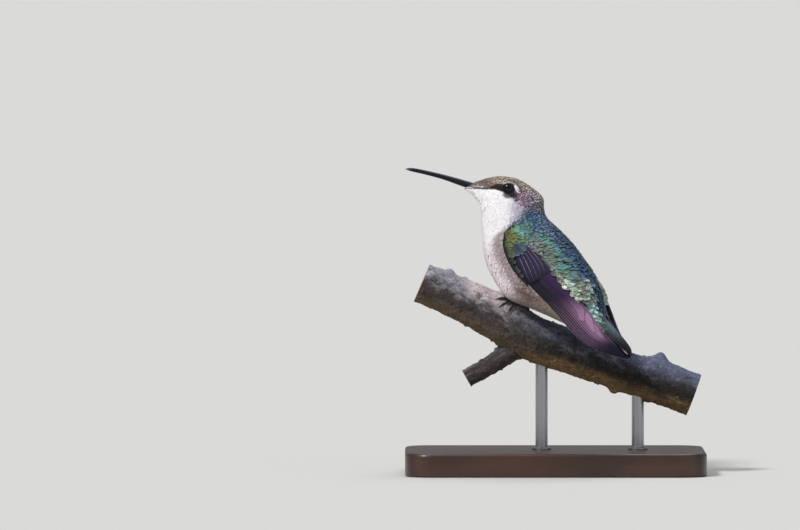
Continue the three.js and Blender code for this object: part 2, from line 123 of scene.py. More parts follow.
# The branch's middle line: x, z, radius.
PERCH = np.array([
    [-34.6, 49.4, 5.0],
    [-24.7, 45.1, 5.25],
    [-15.6, 40.7, 5.8],
    [-7.1, 35.4, 5.75],
    [1.3, 32.5, 5.7],
    [10.4, 29.2, 5.45],
    [19.0, 26.1, 5.2],
    [27.3, 23.4, 5.4],
    [36.0, 20.2, 5.5],
])
# Knots and buds: x, angle from the top toward the bird's left, height, spread.
KNOBS = [
    (-29.5, 8, 1.1, 1.1),
    (-32.8, 58, 0.7, 1.0),
    (-25.6, 4, 0.6, 0.7),
    (-21.0, 50, 0.8, 1.9),
    (-20.6, 58, -1.5, 0.9),
    (-17.0, 22, 0.7, 1.2),
    (-11.0, 70, 0.5, 0.7),
    (-1.2, 40, 0.5, 1.2),
    (4.0, 100, 0.6, 1.1),
    (25.4, -4, 2.2, 1.7),
    (17.0, 168, 1.3, 1.3),
    (25.5, 190, 0.6, 1.2),
]
TWIG = np.array([
    [-9.6, 33.6, 2.9],
    [-14.2, 29.6, 2.45],
    [-18.6, 27.0, 2.25],
    [-23.0, 24.5, 2.15],
])

# Each foot's x and its degrees from the branch's top. Each toe's reach along the branch, and round it.
FEET = {"left": (-13.9, 20), "right": (-11.6, -24)}
TOE_REACHES = [(-3.4, 26), (-2.0, 42), (0.2, 46), (1.5, -30)]
TOE_END, TOE_TAPER = 0.78, 0.22
HIP = (1.6, 3.1, 50.2)

BASE = {"length": 78, "width": 44, "height": 6, "corner": 6.8, "bevel": 0.8}
RODS = {"left": -3.5, "right": 21.5}
ROD_RADIUS = 1.6
ROD_SOCKET = 3
# The collar's outline: how far it stands out of the rod, and the height over the base.
COLLAR = [(0, -0.02), (0.9, -0.02), (0.95, 0.1), (0.9, 0.55), (0.75, 0.7), (0, 0.75)]


# --- curves and surfaces


def ease(value, low, high):
    """0 below low, 1 above high and a smooth step between."""
    t = np.clip((value - low) / (high - low), 0, 1)
    return t * t * (3 - 2 * t)


def between(value, low, full, fading, gone):
    """0 below low, 1 from full to fading and 0 beyond gone."""
    return ease(value, low, full) * (1 - ease(value, fading, gone))


def bell(value, middle, width):
    """1 at the middle, falling off smoothly on both sides."""
    return np.exp(-(((value - middle) / width) ** 2))


def mixed(base, other, share):
    """One colour laid over another, by a share for each point."""
    return base + (other - base) * np.clip(share, 0, 1)[..., None]


def grid(rows, columns):
    """The row's value and the column's value at each point of a grid."""
    return np.meshgrid(rows, columns, indexing="ij")


def full_turn(count):
    """Evenly spaced angles all the way round."""
    return np.linspace(0, 2 * math.pi, count, endpoint=False)


def circle(x, radius, z, around):
    """Points round an upright axis."""
    turn = full_turn(around)
    return np.column_stack([x + radius * np.cos(turn), radius * np.sin(turn), np.full(around, z)])


def from_zero(angle):
    """How far an angle lies from 0 round the circle."""
    return np.abs(np.arctan2(np.sin(angle), np.cos(angle)))


def read_rows(rows, place):
    """A smooth curve through a table's rows, read at places counted in rows."""
    place = np.asarray(place, float)
    last = len(rows) - 1
    at = np.clip(place, 0, last)
    start = np.minimum(np.floor(at).astype(int), last - 1)
    t = (at - start)[..., None]
    a, b, c, d = (rows[np.clip(start + k, 0, last)] for k in (-1, 0, 1, 2))
    bend = (2 * a - 5 * b + 4 * c - d) * t * t + (3 * b - a - 3 * c + d) * t**3
    return 0.5 * (2 * b + (c - a) * t + bend)


def heading(rows, place, reach=0.05):
    """The direction in the side view, as x and z, of the line through a table's first two columns."""
    step = read_rows(rows, place + reach) - read_rows(rows, place - reach)
    length = np.hypot(step[..., 0], step[..., 1])
    return step[..., 0] / length, step[..., 1] / length


def crossing(rows, columns, low, high, x, z):
    """Where a table's line from one edge to the other passes through a point of the side view.

    Returns the place in rows, the share along the line and whether the table reaches the point."""

    def line(place):
        row = read_rows(rows, place)
        return [row[..., k] for k in columns]

    def side(place):
        ax, az, bx, bz = line(place)
        return (bx - ax) * (z - az) - (bz - az) * (x - ax)

    near, far = np.full(x.shape, float(low)), np.full(x.shape, float(high))
    start = np.sign(side(near))
    reached = np.sign(side(far)) != start
    for _ in range(HALVINGS):
        middle = (near + far) / 2
        same = np.sign(side(middle)) == start
        near, far = np.where(same, middle, near), np.where(same, far, middle)
    ax, az, bx, bz = line(near)
    share = ((x - ax) * (bx - ax) + (z - az) * (bz - az)) / ((bx - ax) ** 2 + (bz - az) ** 2)
    return near, share, reached


def turned(x, y, turn):
    """Turns points about the neck's upright axis."""
    cos, sin = np.cos(turn), np.sin(turn)
    return NECK_X + (x - NECK_X) * cos - y * sin, (x - NECK_X) * sin + y * cos


def brow(x, z):
    """How far the face stands out over each eye."""
    away = ((x - BROW["x"]) ** 2 + (z - BROW["z"]) ** 2) / BROW["reach"] ** 2
    return BROW["height"] * np.exp(-away)


def body_flat(place, angle):
    """The body before its head is turned: x, y, z and the share of the turn."""
    row = read_rows(BODY, place)
    back_x, back_z, breast_x, breast_z, half, egg, share = np.moveaxis(row, -1, 0)
    cos = np.cos(angle)
    x = (back_x + breast_x) / 2 + (back_x - breast_x) / 2 * cos
    z = (back_z + breast_z) / 2 + (back_z - breast_z) / 2 * cos
    return x, np.sin(angle) * (half * (1 + egg * cos) + brow(x, z)), z, share


def body_point(place, angle):
    """A point of the body with its head turned."""
    x, y, z, share = body_flat(place, angle)
    x, y = turned(x, y, share * HEAD_TURN)
    return np.stack([x, y, z], -1)


def flank(x, z):
    """The trunk's half width at a point of the side view, and 0 where it doesn't reach."""
    place, share, reached = crossing(BODY, (2, 3, 0, 1), TRUNK_FROM, TRUNK_TO, x, z)
    row = read_rows(BODY, place)
    up = np.clip(2 * share - 1, -1, 1)
    half = row[..., 4] * np.sqrt(1 - up * up) * (1 + row[..., 5] * up)
    return np.where(reached & (share > 0) & (share < 1), half, 0)


def wing_sheet(place, across):
    """The folded wing's outer face, as x, z and distance from the middle plane."""
    row = read_rows(WING, place)
    low_x, low_z, low_y, high_x, high_z, high_y = np.moveaxis(row, -1, 0)
    x = low_x + (high_x - low_x) * across
    z = low_z + (high_z - low_z) * across
    inside = np.clip(across, 0, 1)
    y = low_y + (high_y - low_y) * across + WING_ARCH * 4 * inside * (1 - inside)
    return x, z, np.maximum(y, flank(x, z) + WING_ROOM + WING_THICK)


def wing_point(side):
    """A function that gives the points of one folded wing's outer face."""

    def point(place, across):
        x, z, y = wing_sheet(place, across)
        return np.stack([x, side * y, z], -1)

    return point


class Loft:
    """A surface steered over by two numbers: how far along it, and how far across it."""

    def __init__(self, point, along, across, outward):
        self.point, self.along, self.across, self.outward = point, along, across, outward
        steps = np.linalg.norm(np.diff(point(*grid(along, across)), axis=0), axis=-1)
        self.run = np.vstack([np.zeros(len(across)), np.cumsum(steps, axis=0)])

    def frame(self, along, across):
        """Point, outward normal, direction along, and millimetres for each unit across."""
        e = 1e-3
        along = np.clip(along, self.along[0] + e, self.along[-1] - e)
        here = self.point(along, across)
        forward = self.point(along + e, across) - self.point(along - e, across)
        beside = (self.point(along, across + e) - here) / e
        normal = np.cross(forward, beside) * self.outward
        forward /= np.linalg.norm(forward, axis=-1, keepdims=True) + 1e-12
        normal /= np.linalg.norm(normal, axis=-1, keepdims=True) + 1e-12
        return here, normal, forward, np.linalg.norm(beside, axis=-1)

    def lay(self, root_along, root_across, u, v, lift):
        """Points u along and v across from each root, lifted off the surface.

        Returns the points with their places along and across."""
        column = np.searchsorted(self.across, root_across).clip(0, len(self.across) - 1)
        along, beyond = np.empty(u.shape), np.empty(u.shape)
        for i, j in enumerate(column):
            run = self.run[:, j]
            target = np.interp(root_along[i], self.along, run) + u[i]
            along[i] = np.interp(target, run, self.along)
            beyond[i] = np.maximum(target - run[-1], 0)
        shape = (-1,) + (1,) * (u.ndim - 1)
        middle = np.broadcast_to(root_across.reshape(shape), u.shape)
        metric = np.maximum(self.frame(along, middle)[3], 0.25)
        across = middle + v / metric
        here, normal, forward, _ = self.frame(along, across)
        points = here + normal * lift[..., None] + forward * beyond[..., None]
        return points, along, across


def body_loft():
    """The body, steered over by the place along it and the angle round it."""
    places = np.linspace(0, len(BODY) - 1, 433)
    return Loft(body_point, places, np.linspace(-math.pi, math.pi, 361), 1)


def wing_loft(side):
    """A folded wing's outer face, steered over by the place along it and the share across it."""
    places = np.linspace(0, len(WING) - 1, 181)
    return Loft(wing_point(side), places, np.linspace(-0.3, 1.3, 65), -side)


def wing_place(x, z):
    """Where the folded wing's face lies at a point of the side view, as crossing gives it."""
    return crossing(WING, (0, 1, 3, 4), 0, len(WING) - 1.1, x, z)


def to_world(points):
    """From the bird's own millimetres to the stand's metres."""
    cos, sin = math.cos(BODY_YAW), math.sin(BODY_YAW)
    x, y, z = np.moveaxis(points, -1, 0)
    return np.stack([FEET_X + x * cos + y * sin, y * cos - x * sin, z], -1) * MM


def to_bird(points):
    """From the stand's millimetres to the bird's own."""
    cos, sin = math.cos(BODY_YAW), math.sin(BODY_YAW)
    x, y, z = np.moveaxis(points, -1, 0)
    x = x - FEET_X
    return np.stack([x * cos - y * sin, x * sin + y * cos, z], -1)


def knob_height(x, angle, radius):
    """How far the knots and buds stand out of the branch."""
    height = 0
    for knob_x, degrees, tall, spread in KNOBS:
        turn = from_zero(angle - math.radians(degrees))
        height = height + tall * np.exp(-((x - knob_x) ** 2 + (radius * turn) ** 2) / spread**2)
    return height


def branch_point(rows, place, angle, lift, knobby):
    """A point on a branch, in the stand's millimetres. The angle goes from its top toward -Y."""
    x, z, radius = np.moveaxis(read_rows(rows, place), -1, 0)
    along_x, along_z = heading(rows, place)
    reach = radius + lift + (knob_height(x, angle, radius) if knobby else 0)
    rise = reach * np.cos(angle) * np.sign(along_x)
    return np.stack([x - along_z * rise, -reach * np.sin(angle), z + along_x * rise], -1)


def place_at_x(rows, x):
    """The place along a branch where its middle line reaches x."""
    places = np.linspace(0, len(rows) - 1, 2001)
    return np.interp(x, read_rows(rows, places)[:, 0], places)


def clear_of_branch(points, room):
    """Moves points of the bird's own frame that lie in the branch out to its bark."""
    world = to_world(points) / MM
    first, last, row_length = 0.1, len(PERCH) - 1.1, 9
    place = np.clip(place_at_x(PERCH, world[..., 0]), first, last)
    for _ in range(2):
        x, z, radius = np.moveaxis(read_rows(PERCH, place), -1, 0)
        along_x, along_z = heading(PERCH, place)
        slip = (world[..., 0] - x) * along_x + (world[..., 2] - z) * along_z
        place = np.clip(place + slip / row_length, first, last)
    away = world - np.stack([x, np.zeros_like(x), z], -1)
    distance = np.linalg.norm(away, axis=-1) + 1e-9
    push = np.maximum(radius + room - distance, 0) / distance
    return to_bird(world + away * push[..., None])


# --- meshes


def mesh_object(name, points, quads, values=None, uv=None, sharp=50):
    """A smooth-shaded mesh object from quads, with a value for each point of each named attribute."""
    mesh = bpy.data.meshes.new(name)
    points = np.ascontiguousarray(points.reshape(-1, 3), np.float32)
    quads = np.ascontiguousarray(quads.reshape(-1, 4), np.int32)
    mesh.vertices.add(len(points))
    mesh.vertices.foreach_set("co", points.ravel())
    mesh.loops.add(quads.size)
    mesh.loops.foreach_set("vertex_index", quads.ravel())
    mesh.polygons.add(len(quads))
    mesh.polygons.foreach_set("loop_start", np.arange(0, quads.size, 4, dtype=np.int32))
    mesh.update(calc_edges=True)
    for label, data in (values or {}).items():
        data = np.asarray(data, np.float32)
        width = 1 if data.ndim == 1 else data.shape[-1]
        kind, field = {
            1: ("FLOAT", "value"),
            3: ("FLOAT_VECTOR", "vector"),
            4: ("FLOAT_COLOR", "color"),
        }[width]
        made = mesh.attributes.new(label, kind, "POINT")
        made.data.foreach_set(field, np.ascontiguousarray(data).ravel())
    if uv is not None:
        layer = mesh.uv_layers.new(name="OFBake")
        corner = np.asarray(uv, np.float32).reshape(-1, 2)[quads.ravel()]
        layer.data.foreach_set("uv", np.ascontiguousarray(corner).ravel())
    mesh.shade_smooth()
    mesh.set_sharp_from_angle(angle=math.radians(sharp))
    made = bpy.data.objects.new(name, mesh)
    bpy.context.scene.collection.objects.link(made)
    return made


def place_piece(piece, material, slot, *nodes):
    """Gives a piece its material and its body, and hides the nodes that it stands for. Its slot is not used.
    """
    piece.data.materials.append(material)
    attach(piece, "root")
    if nodes:
        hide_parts(*nodes)


def ring_quads(rings, around):
    """The faces of a tube through rings of points."""
    i, j = grid(np.arange(rings - 1), np.arange(around))
    here, beside = i * around + j, i * around + (j + 1) % around
    return np.stack([here, beside, beside + around, here + around], -1).reshape(-1, 4)


def closed_quads(rings, around):
    """The faces of a tube, with a flat end of quads across its first and last ring."""
    last, ends = (rings - 1) * around, []
    for j in range(around // 2 - 1):
        far = around - 1 - j
        ends.append([j + 1, j, far, far - 1])
        ends.append([last + j, last + j + 1, last + far - 1, last + far])
    return np.vstack([ring_quads(rings, around), ends])


def tube(path, radii, around):
    """A round solid along a path, with rounded ends. Returns points, quads and shares of the length."""
    cap_rings, cap_start = 4, 0.02
    path, radii = np.asarray(path, float), np.asarray(radii, float)
    ahead = np.gradient(path, axis=0)
    ahead /= np.linalg.norm(ahead, axis=1, keepdims=True)
    bow = np.linspace(0, math.pi / 2, cap_rings + 1)[:-1]
    ends, back = np.sin(bow), np.cos(bow)
    ends[0] = cap_start
    first = path[0] - ahead[0] * (radii[0] * back[:, None])
    last = (path[-1] + ahead[-1] * (radii[-1] * back[:, None]))[::-1]
    path = np.vstack([first, path, last])
    ahead = np.vstack([np.repeat(ahead[:1], cap_rings, 0), ahead, np.repeat(ahead[-1:], cap_rings, 0)])
    radii = np.concatenate([radii[0] * ends, radii, (radii[-1] * ends)[::-1]])
    side = np.cross(ahead, (0.31, 0.22, 0.92))
    side /= np.linalg.norm(side, axis=1, keepdims=True)
    up = np.cross(side, ahead)
    turn = full_turn(around)[None, :, None]
    ring = np.cos(turn) * up[:, None] + np.sin(turn) * side[:, None]
    points = path[:, None] + radii[:, None, None] * ring
    share = np.repeat(np.linspace(0, 1, len(path)), around)
    return points.reshape(-1, 3), ring_quads(len(path), around), share


def joined(parts):
    """Joins several sets of (points, quads, values) into one."""
    points, quads, values, start = [], [], {}, 0
    for some_points, some_quads, some_values in parts:
        some_points = np.asarray(some_points).reshape(-1, 3)
        points.append(some_points)
        quads.append(np.asarray(some_quads).reshape(-1, 4) + start)
        for label, data in some_values.items():
            values.setdefault(label, []).append(np.asarray(data))
        start += len(some_points)
    return np.vstack(points), np.vstack(quads), {k: np.concatenate(v) for k, v in values.items()}


# --- feathers


def vane_quads(stations, columns):
    """The faces of one vane: a top and an underside that share their rim."""
    top = np.arange(stations * columns).reshape(stations, columns)
    under = top.copy()
    inner = np.arange((stations - 2) * (columns - 2)).reshape(stations - 2, columns - 2)
    under[1:-1, 1:-1] = stations * columns + inner
    faces = [
        np.stack([g[:-1, :-1], g[:-1, 1:], g[1:, 1:], g[1:, :-1]], -1)[..., ::order].reshape(-1, 4)
        for g, order in ((top, 1), (under, -1))
    ]
    return np.vstack(faces)


def both_faces(top, thick, normal):
    """All points of each vane: its top, and its underside within the rim."""
    under = top[:, 1:-1, 1:-1] - normal[:, 1:-1, 1:-1] * thick
    count = len(top)
    return np.concatenate([top.reshape(count, -1, 3), under.reshape(count, -1, 3)], 1)


def on_both(values):
    """The same values on the top and underside of each vane."""
    count = len(values)
    tail = values.shape[3:]
    top = values.reshape((count, -1) + tail)
    under = values[:, 1:-1, 1:-1].reshape((count, -1) + tail)
    return np.concatenate([top, under], 1)


# Stations along a vane, from its root. The last ones show beyond the feathers over it.
STATIONS = np.array([0, 0.25, 0.46, 0.62, 0.74, 0.84, 0.92, 0.97, 1.0])
SEEN, NEAR_TIP = 5, 7
SHAPES = {
    "scale": np.array([0.3, 0.6, 0.84, 0.97, 1.0, 0.97, 0.87, 0.74, 0.54]),
    "hair": np.array([0.4, 0.7, 0.95, 1.0, 0.92, 0.76, 0.56, 0.4, 0.28]),
}


def contour_feathers(loft, roots, sizes, style, rng, shift=None, sweep=0.0):
    """Vanes that lie along a surface, each from its root backward.

    roots is (along, across), sizes (length, half width, depth at the root) for each feather, and sweep
    how far each is turned across."""
    count = len(roots[0])
    columns = style["columns"]
    t = STATIONS[None, :, None]
    c = np.linspace(-1, 1, columns)[None, None, :]
    length, half, depth = (s[:, None, None] for s in sizes)
    shape = SHAPES[style["shape"]][None, :, None]
    yaw = rng.normal(0, style["stray"], (count, 1, 1)) + np.reshape(sweep, (-1, 1, 1))
    lobe = rng.uniform(0.4, 1.25, (count, 1, columns)) * (np.arange(columns) % 2)
    ragged = rng.uniform(-0.5, 0.5, (count, 1, columns)) * style["notch"] * 0.7
    end = ease(t, 0.88, 1.0)
    u = length * t - half * style["round"] * c**2 * t**3
    u = u - half * (style["notch"] * lobe + ragged * (np.abs(c) < 0.99)) * end
    v = half * shape * c * (1 + 0.05 * style["notch"] * lobe * end)
    v = v + half * 0.12 * rng.normal(0, 1, (count, 1, 1)) * t**2
    u, v = u * np.cos(yaw) - v * np.sin(yaw), u * np.sin(yaw) + v * np.cos(yaw)
    u, v = np.broadcast_arrays(u, v)
    raise_tip = style["tip"] * rng.uniform(0.5, 1.5, (count, 1, 1))
    lift = -0.06 - depth * (1 - t) ** style["settle"] + raise_tip * t**3 - style["camber"] * half * c**2 * t
    ridge = 0.02 * bell(c, 0, 0.12) * style["ridge"]
    lift = np.broadcast_to(lift + ridge, u.shape)
    points, along, across = loft.lay(roots[0], roots[1], u, v, lift)
    if shift is not None:
        points = shift(points, along, across)
    _, normal, _, _ = loft.frame(along, across)
    rim = 0.7 * np.abs(c) ** 3 * ease(t, 0.6, 0.9)
    edge = np.maximum(rim, ease(t - 0.04 * c**2, style["fringe"], 0.99))
    vane = np.stack(np.broadcast_arrays(t, c, edge), -1)
    vane = np.broadcast_to(vane, (count,) + vane.shape[1:])
    return {
        "top": points,
        "normal": normal,
        "along": along,
        "across": across,
        "vane": vane,
        "thick": style["thick"],
    }


def staggered_roots(loft, exposure, breadth, low, rng):
    """Roots in staggered rows over a surface, spaced by how much of each feather shows."""
    shown = exposure(*grid(loft.along, loft.across))
    steps = np.diff(loft.run, axis=0) / ((shown[1:] + shown[:-1]) / 2)
    number = np.vstack([np.zeros(len(loft.across)), np.cumsum(steps, axis=0)])
    number -= number[np.searchsorted(loft.along, low)]
    roots = []
    for row in range(int(number.max()) + 1):
        along = np.array([np.interp(row, number[:, j], loft.along) for j in range(len(loft.across))])
        width = breadth(along, loft.across)
        line = np.linalg.norm(np.diff(loft.point(along, loft.across), axis=0), axis=-1)
        reach = np.concatenate([[0], np.cumsum(line / ((width[1:] + width[:-1]) / 2))])
        wanted = max(int(round(reach[-1])), 3)
        spots = (np.arange(wanted) + 0.5 * (row % 2) + 0.25) * reach[-1] / wanted
        across = np.interp(spots + rng.uniform(-0.3, 0.3, wanted), reach, loft.across)
        number_here = np.interp(across, loft.across, number[-1])
        place = np.interp(across, loft.across, along)
        keep = number_here > row + 0.2
        roots.append(np.stack([place[keep], across[keep]], 1))
    roots = np.vstack(roots)
    roots[:, 0] += rng.uniform(-0.06, 0.06, len(roots)) * ease(roots[:, 0], 0, 8)
    return roots[:, 0], roots[:, 1]


# --- markings


def srgb(red, green, blue):
    """A display colour from 0 to 255 as the linear colour that a material takes."""
    value = np.array([red, green, blue]) / 255
    linear = np.where(value <= 0.04045, value / 12.92, ((value + 0.055) / 1.055) ** 2.4)
    return tuple(float(x) for x in linear)


def colour_property(name, description, default):
    """A colour setting. Its default is given as a display colour."""
    return FloatVectorProperty(
        name=name, description=description, default=srgb(*default), subtype="COLOR", size=3, min=0, max=1
    )


def factor(name, description, default, low=0, high=10):
    """A plain number setting."""
    return FloatProperty(name=name, description=description, default=default, min=low, max=high)


def millimetres(name, description, default, low, high):
    """A length setting, with its default and limits in millimetres."""
    return FloatProperty(
        name=name, description=description, default=default * MM, min=low * MM, max=high * MM,
        unit="LENGTH", precision=5,
    )


class PlumageColours(PropertyGroup):
    """Colours of the coat, from the bill to the tail coverts."""

    throat: colour_property("Throat", "Chin and throat", (252, 249, 253))
    breast: colour_property("Breast", "Upper breast", (244, 231, 238))
    # Belly and vent are darker than the pale feathers themselves: painted shade on the underside.
    belly: colour_property("Belly", "Lower breast and belly", (142, 126, 116))
    flank: colour_property("Flank", "Shaded feathers next to the folded wing", (112, 95, 95))
    brown: colour_property("Brown spots", "Brown feathers behind the wing's lower edge", (92, 66, 54))
    vent: colour_property("Vent", "Feathers under the root of the tail", (150, 142, 126))
    crown: colour_property("Crown", "Middle of the crown's feathers", (104, 85, 78))
    crown_edge: colour_property("Crown edge", "Pale tips of the crown's feathers", (238, 232, 212))
    cheek: colour_property("Cheek", "Ear coverts", (104, 80, 96))
    cheek_edge: colour_property("Cheek edge", "Tips of the ear coverts", (238, 220, 230))
    mask: colour_property("Mask", "Lores and the ring of feathers round the eye", (16, 9, 13))
    spot: colour_property("Eye spot", "Spot behind the eye", (246, 242, 250))
    neck: colour_property("Neck side", "Between the throat and the hind neck", (178, 172, 194))
    nape: colour_property("Nape", "Hind neck", (50, 76, 106))
    nape_edge: colour_property("Nape edge", "Tips of the hind neck's feathers", (150, 168, 192))
    # The ridge's blue is partly the feathers' own colour and partly painted sheen: the blue of the green
    # feathers at grazing angles and the sky's reflection.
    ridge: colour_property("Ridge", "Middle of the back", (22, 56, 86))
    ridge_edge: colour_property("Ridge edge", "Tips of the middle back's feathers", (112, 132, 164))
    teal: colour_property("Teal", "Beside the middle of the back", (78, 126, 130))
    green: colour_property("Green", "Sides of the back and the scapulars", (72, 122, 80))
    green_edge: colour_property("Green edge", "Tips of the green feathers", (146, 174, 154))
    shoulder: colour_property("Shoulder edge", "Tips of the feathers over the wrist", (128, 158, 104))
    gold: colour_property("Gold", "Back feathers next to the folded wing", (92, 85, 98))
    vane: colour_property("Tail coverts", "Feathers over the root of the tail", (84, 98, 96))
    # Mint and cyan are painted highlights on the green rump and tail coverts.
    mint_highlight: colour_property("Mint", "Rump", (206, 222, 202))
    cyan_glint: colour_property("Cyan", "Spot on the tail coverts", (190, 250, 240))


# Where the cap ends: its edge's angle at places along the head, and its end's place at angles round it.
CAP_EDGE = (
    [0, 1.13, 3.19, 3.8, 4.51, 5.19, 6.01, 6.74, 7.1],
    [1.75, 1.64, 1.28, 1.28, 1.23, 1.18, 1.0, 0.65, 0.6],
)
CAP_END = ([0, 0.3, 0.65, 0.9], [7.4, 7.25, 6.75, 6.6])
# The glossy back's edge: its angle at places along the trunk.
BACK_EDGE = ([7, 9, 12, 14, 17], [1.58, 1.48, 1.2, 1.15, 1.3])
# How far across the wing the back feathers reach down over it, at places from its wrist.
SCAPULARS_EDGE = ([0, 0.5, 0.9, 1.2, 1.5, 2.2, 3.5], [0.5, 0.66, 0.86, 0.98, 1.06, 1.03, 0.98])
# The covered root of the tail: how far round its coverts are left out, at places along the body.
TAIL_ROOT = ([14.5, 15.3, 16.2, 17], [0.1, 0.6, 1.1, 1.35])
# The dark stripe from the bill to the eye: its half height and its middle's height at each x.
LORE_HALF = ([-8.4, -5.4, -4.1, -3.2, -2.3, -0.7], [0.1, 0.1, 0.15, 0.4, 0.78, 1.05])
LORE_MIDDLE = ([-8.2, -5, -4, -3, -2, 0.5], [73.95, 74.1, 74.3, 74.5, 74.45, 74.15])


def tints(settings):
    """The colours of a group of settings, by name."""
    return {name: np.array(getattr(settings, name)) for name in settings.__annotations__}


def layered(tint, base, *layers):
    """A colour with others laid over it in turn, each given by its name and its share at each point."""
    colour = tint[base] if isinstance(base, str) else base
    for name, share in layers:
        colour = mixed(colour, tint[name], share)
    return colour


def opaque(colour, shape):
    """A colour for each point, with an alpha of 1."""
    return np.concatenate([np.broadcast_to(colour, shape + (3,)), np.ones(shape + (1,))], -1)


def capsule(x, z, start, end, radius, soft):
    """1 within a radius of a short line in the side view, 0 outside."""
    (ax, az), (bx, bz) = start, end
    length = (bx - ax) ** 2 + (bz - az) ** 2
    t = np.clip(((x - ax) * (bx - ax) + (z - az) * (bz - az)) / length, 0, 1)
    distance = np.hypot(x - ax - (bx - ax) * t, z - az - (bz - az) * t)
    return 1 - ease(distance, radius - soft, radius + soft)


def markings(colours, place, angle):
    """The coat's colour, the colour of its feather tips, and how edged and how glossy it is."""
    tint = tints(colours)
    s = from_zero(angle)
    x, _, z, _ = body_flat(place, angle)

    neck = 0.9 * between(place, 3.6, 4.6, 7.4, 8.2)
    base = layered(
        tint,
        "throat",
        ("breast", ease(place, 6.6, 9.2)),
        ("neck", neck * ease(x, 0.4, 3.4)),
        ("nape", neck * ease(x, 3.6, 6.8)),
        # Belly and vent colours carry painted shade on the underside.
        ("belly", ease(place, 10.9, 13.0)),
        ("vent", ease(place, 13.2, 14.6)),
        # Painted shade on the breast beside the folded wing.
        ("flank", 0.8 * bell(s, 1.85, 0.27) * between(place, 6.6, 7.2, 12.2, 13.4)),
        ("brown", 0.8 * bell(s, 1.92, 0.17) * between(place, 11.1, 11.7, 12.6, 13.2)),
        ("cheek", 0.2 * bell(place, 5.0, 0.9) * ease(s, 2.7, 3.0)),
    )
    chin = between(place, 1.0, 1.6, 3.0, 4.0) * ease(s, 2.1, 2.35)
    edge = layered(tint, base, ("cheek_edge", chin))
    edged = 0.8 * chin

    back = ease(place, 6.66, 7.1) * (1 - ease(s - np.interp(place, *BACK_EDGE), 0, 0.16))
    rump = ease(place, 11.3, 12.7) * ease(s, 0.2, 0.5)
    upper = layered(
        tint,
        "nape",
        ("teal", ease(s, 0.62, 0.95) * ease(place, 7.1, 7.6)),
        ("green", ease(s, 0.9, 1.25) * ease(place, 7.3, 7.9)),
    )
    # Blue along the ridge, as painted sheen over the feathers' own colour, turning to teal and green down the
    # sides.
    lower = layered(
        tint,
        "ridge",
        ("teal", ease(s, 0.42, 0.62)),
        ("green", ease(s, 0.58, 0.82)),
        ("gold", 0.9 * ease(s, 0.7, 0.88) * ease(place, 8.2, 9.2)),
        # Painted highlight on the rump.
        ("mint_highlight", rump * (0.9 - 0.4 * ease(place, 13.8, 14.6))),
        ("gold", rump * ease(place, 12.8, 13.4) * (0.5 - 0.3 * ease(place, 14, 14.6))),
        ("vane", 0.85 * ease(place, 14.6, 15.6)),
        # Painted glint on the tail coverts.
        ("cyan_glint", 1.4 * bell(place, 14.6, 0.6) * bell(s, 0.8, 0.34)),
    )
    upper_tips = layered(
        tint, "nape_edge", ("green_edge", ease(s, 0.6, 0.95)), ("shoulder", 0.75 * ease(s, 0.85, 1.1))
    )
    lower_tips = layered(tint, "ridge_edge", ("green_edge", ease(s, 0.5, 0.8)))
    low = ease(place, 8.5, 9.4)
    base = mixed(base, mixed(upper, lower, low), back)
    edge = mixed(edge, mixed(upper_tips, lower_tips, low), back)
    edged = edged + (0.85 - edged) * back

    cap = ease(np.interp(place, *CAP_EDGE) - s, -0.05, 0.04)
    cap = cap * (1 - ease(place - np.interp(s, *CAP_END), -0.1, 0.1))
    cheek, hind = ease(x, 0.2, 2.2) * ease(s, 0.5, 0.78), 0.4 * ease(x, 5, 8)
    base = mixed(base, layered(tint, "crown", ("cheek", cheek), ("nape", hind)), cap)
    edge = mixed(edge, layered(tint, "crown_edge", ("cheek_edge", cheek), ("nape_edge", hind)), cap)
    edged = edged + (0.85 - 0.25 * cheek - edged) * cap
    gloss = 0.42 * back * (1 - cap)

    front = place < 6
    lores = ease(np.interp(x, *LORE_HALF) - np.abs(z - np.interp(x, *LORE_MIDDLE)), -0.14, 0.14)
    ring = np.hypot((x - 0.76) / 1.05, (z - 74.05) / 0.92)
    below_eye = np.hypot((x - 1.1) / 2.1, (z - 72.45) / 0.95)
    dark = np.maximum(lores * (1 - ease(x, -0.4, 0.6)), 1 - ease(ring, 1.55, 1.85))
    dark = np.maximum(dark, 0.85 * (1 - ease(below_eye, 0.7, 1.15))) * front
    over_eye = 0.35 * (1 - ease(np.abs(ring - 1.9), 0.1, 0.24)) * ease(z, 75.0, 75.5) * front
    gape = 0.5 * capsule(x, z, (-8.3, 74.75), (-6.0, 74.5), 0.14, 0.08) * front
    spot = capsule(x, z, (2.6, 74.6), (3.35, 73.2), 0.42, 0.16) * front
    base = layered(tint, base, ("mask", dark), ("spot", over_eye), ("spot", gape), ("spot", spot))
    edge = layered(tint, edge, ("mask", dark), ("spot", np.maximum(spot, gape)))
    edged = edged * (1 - 0.8 * np.maximum(dark, spot))
    return base, edge, edged, gloss


# --- materials


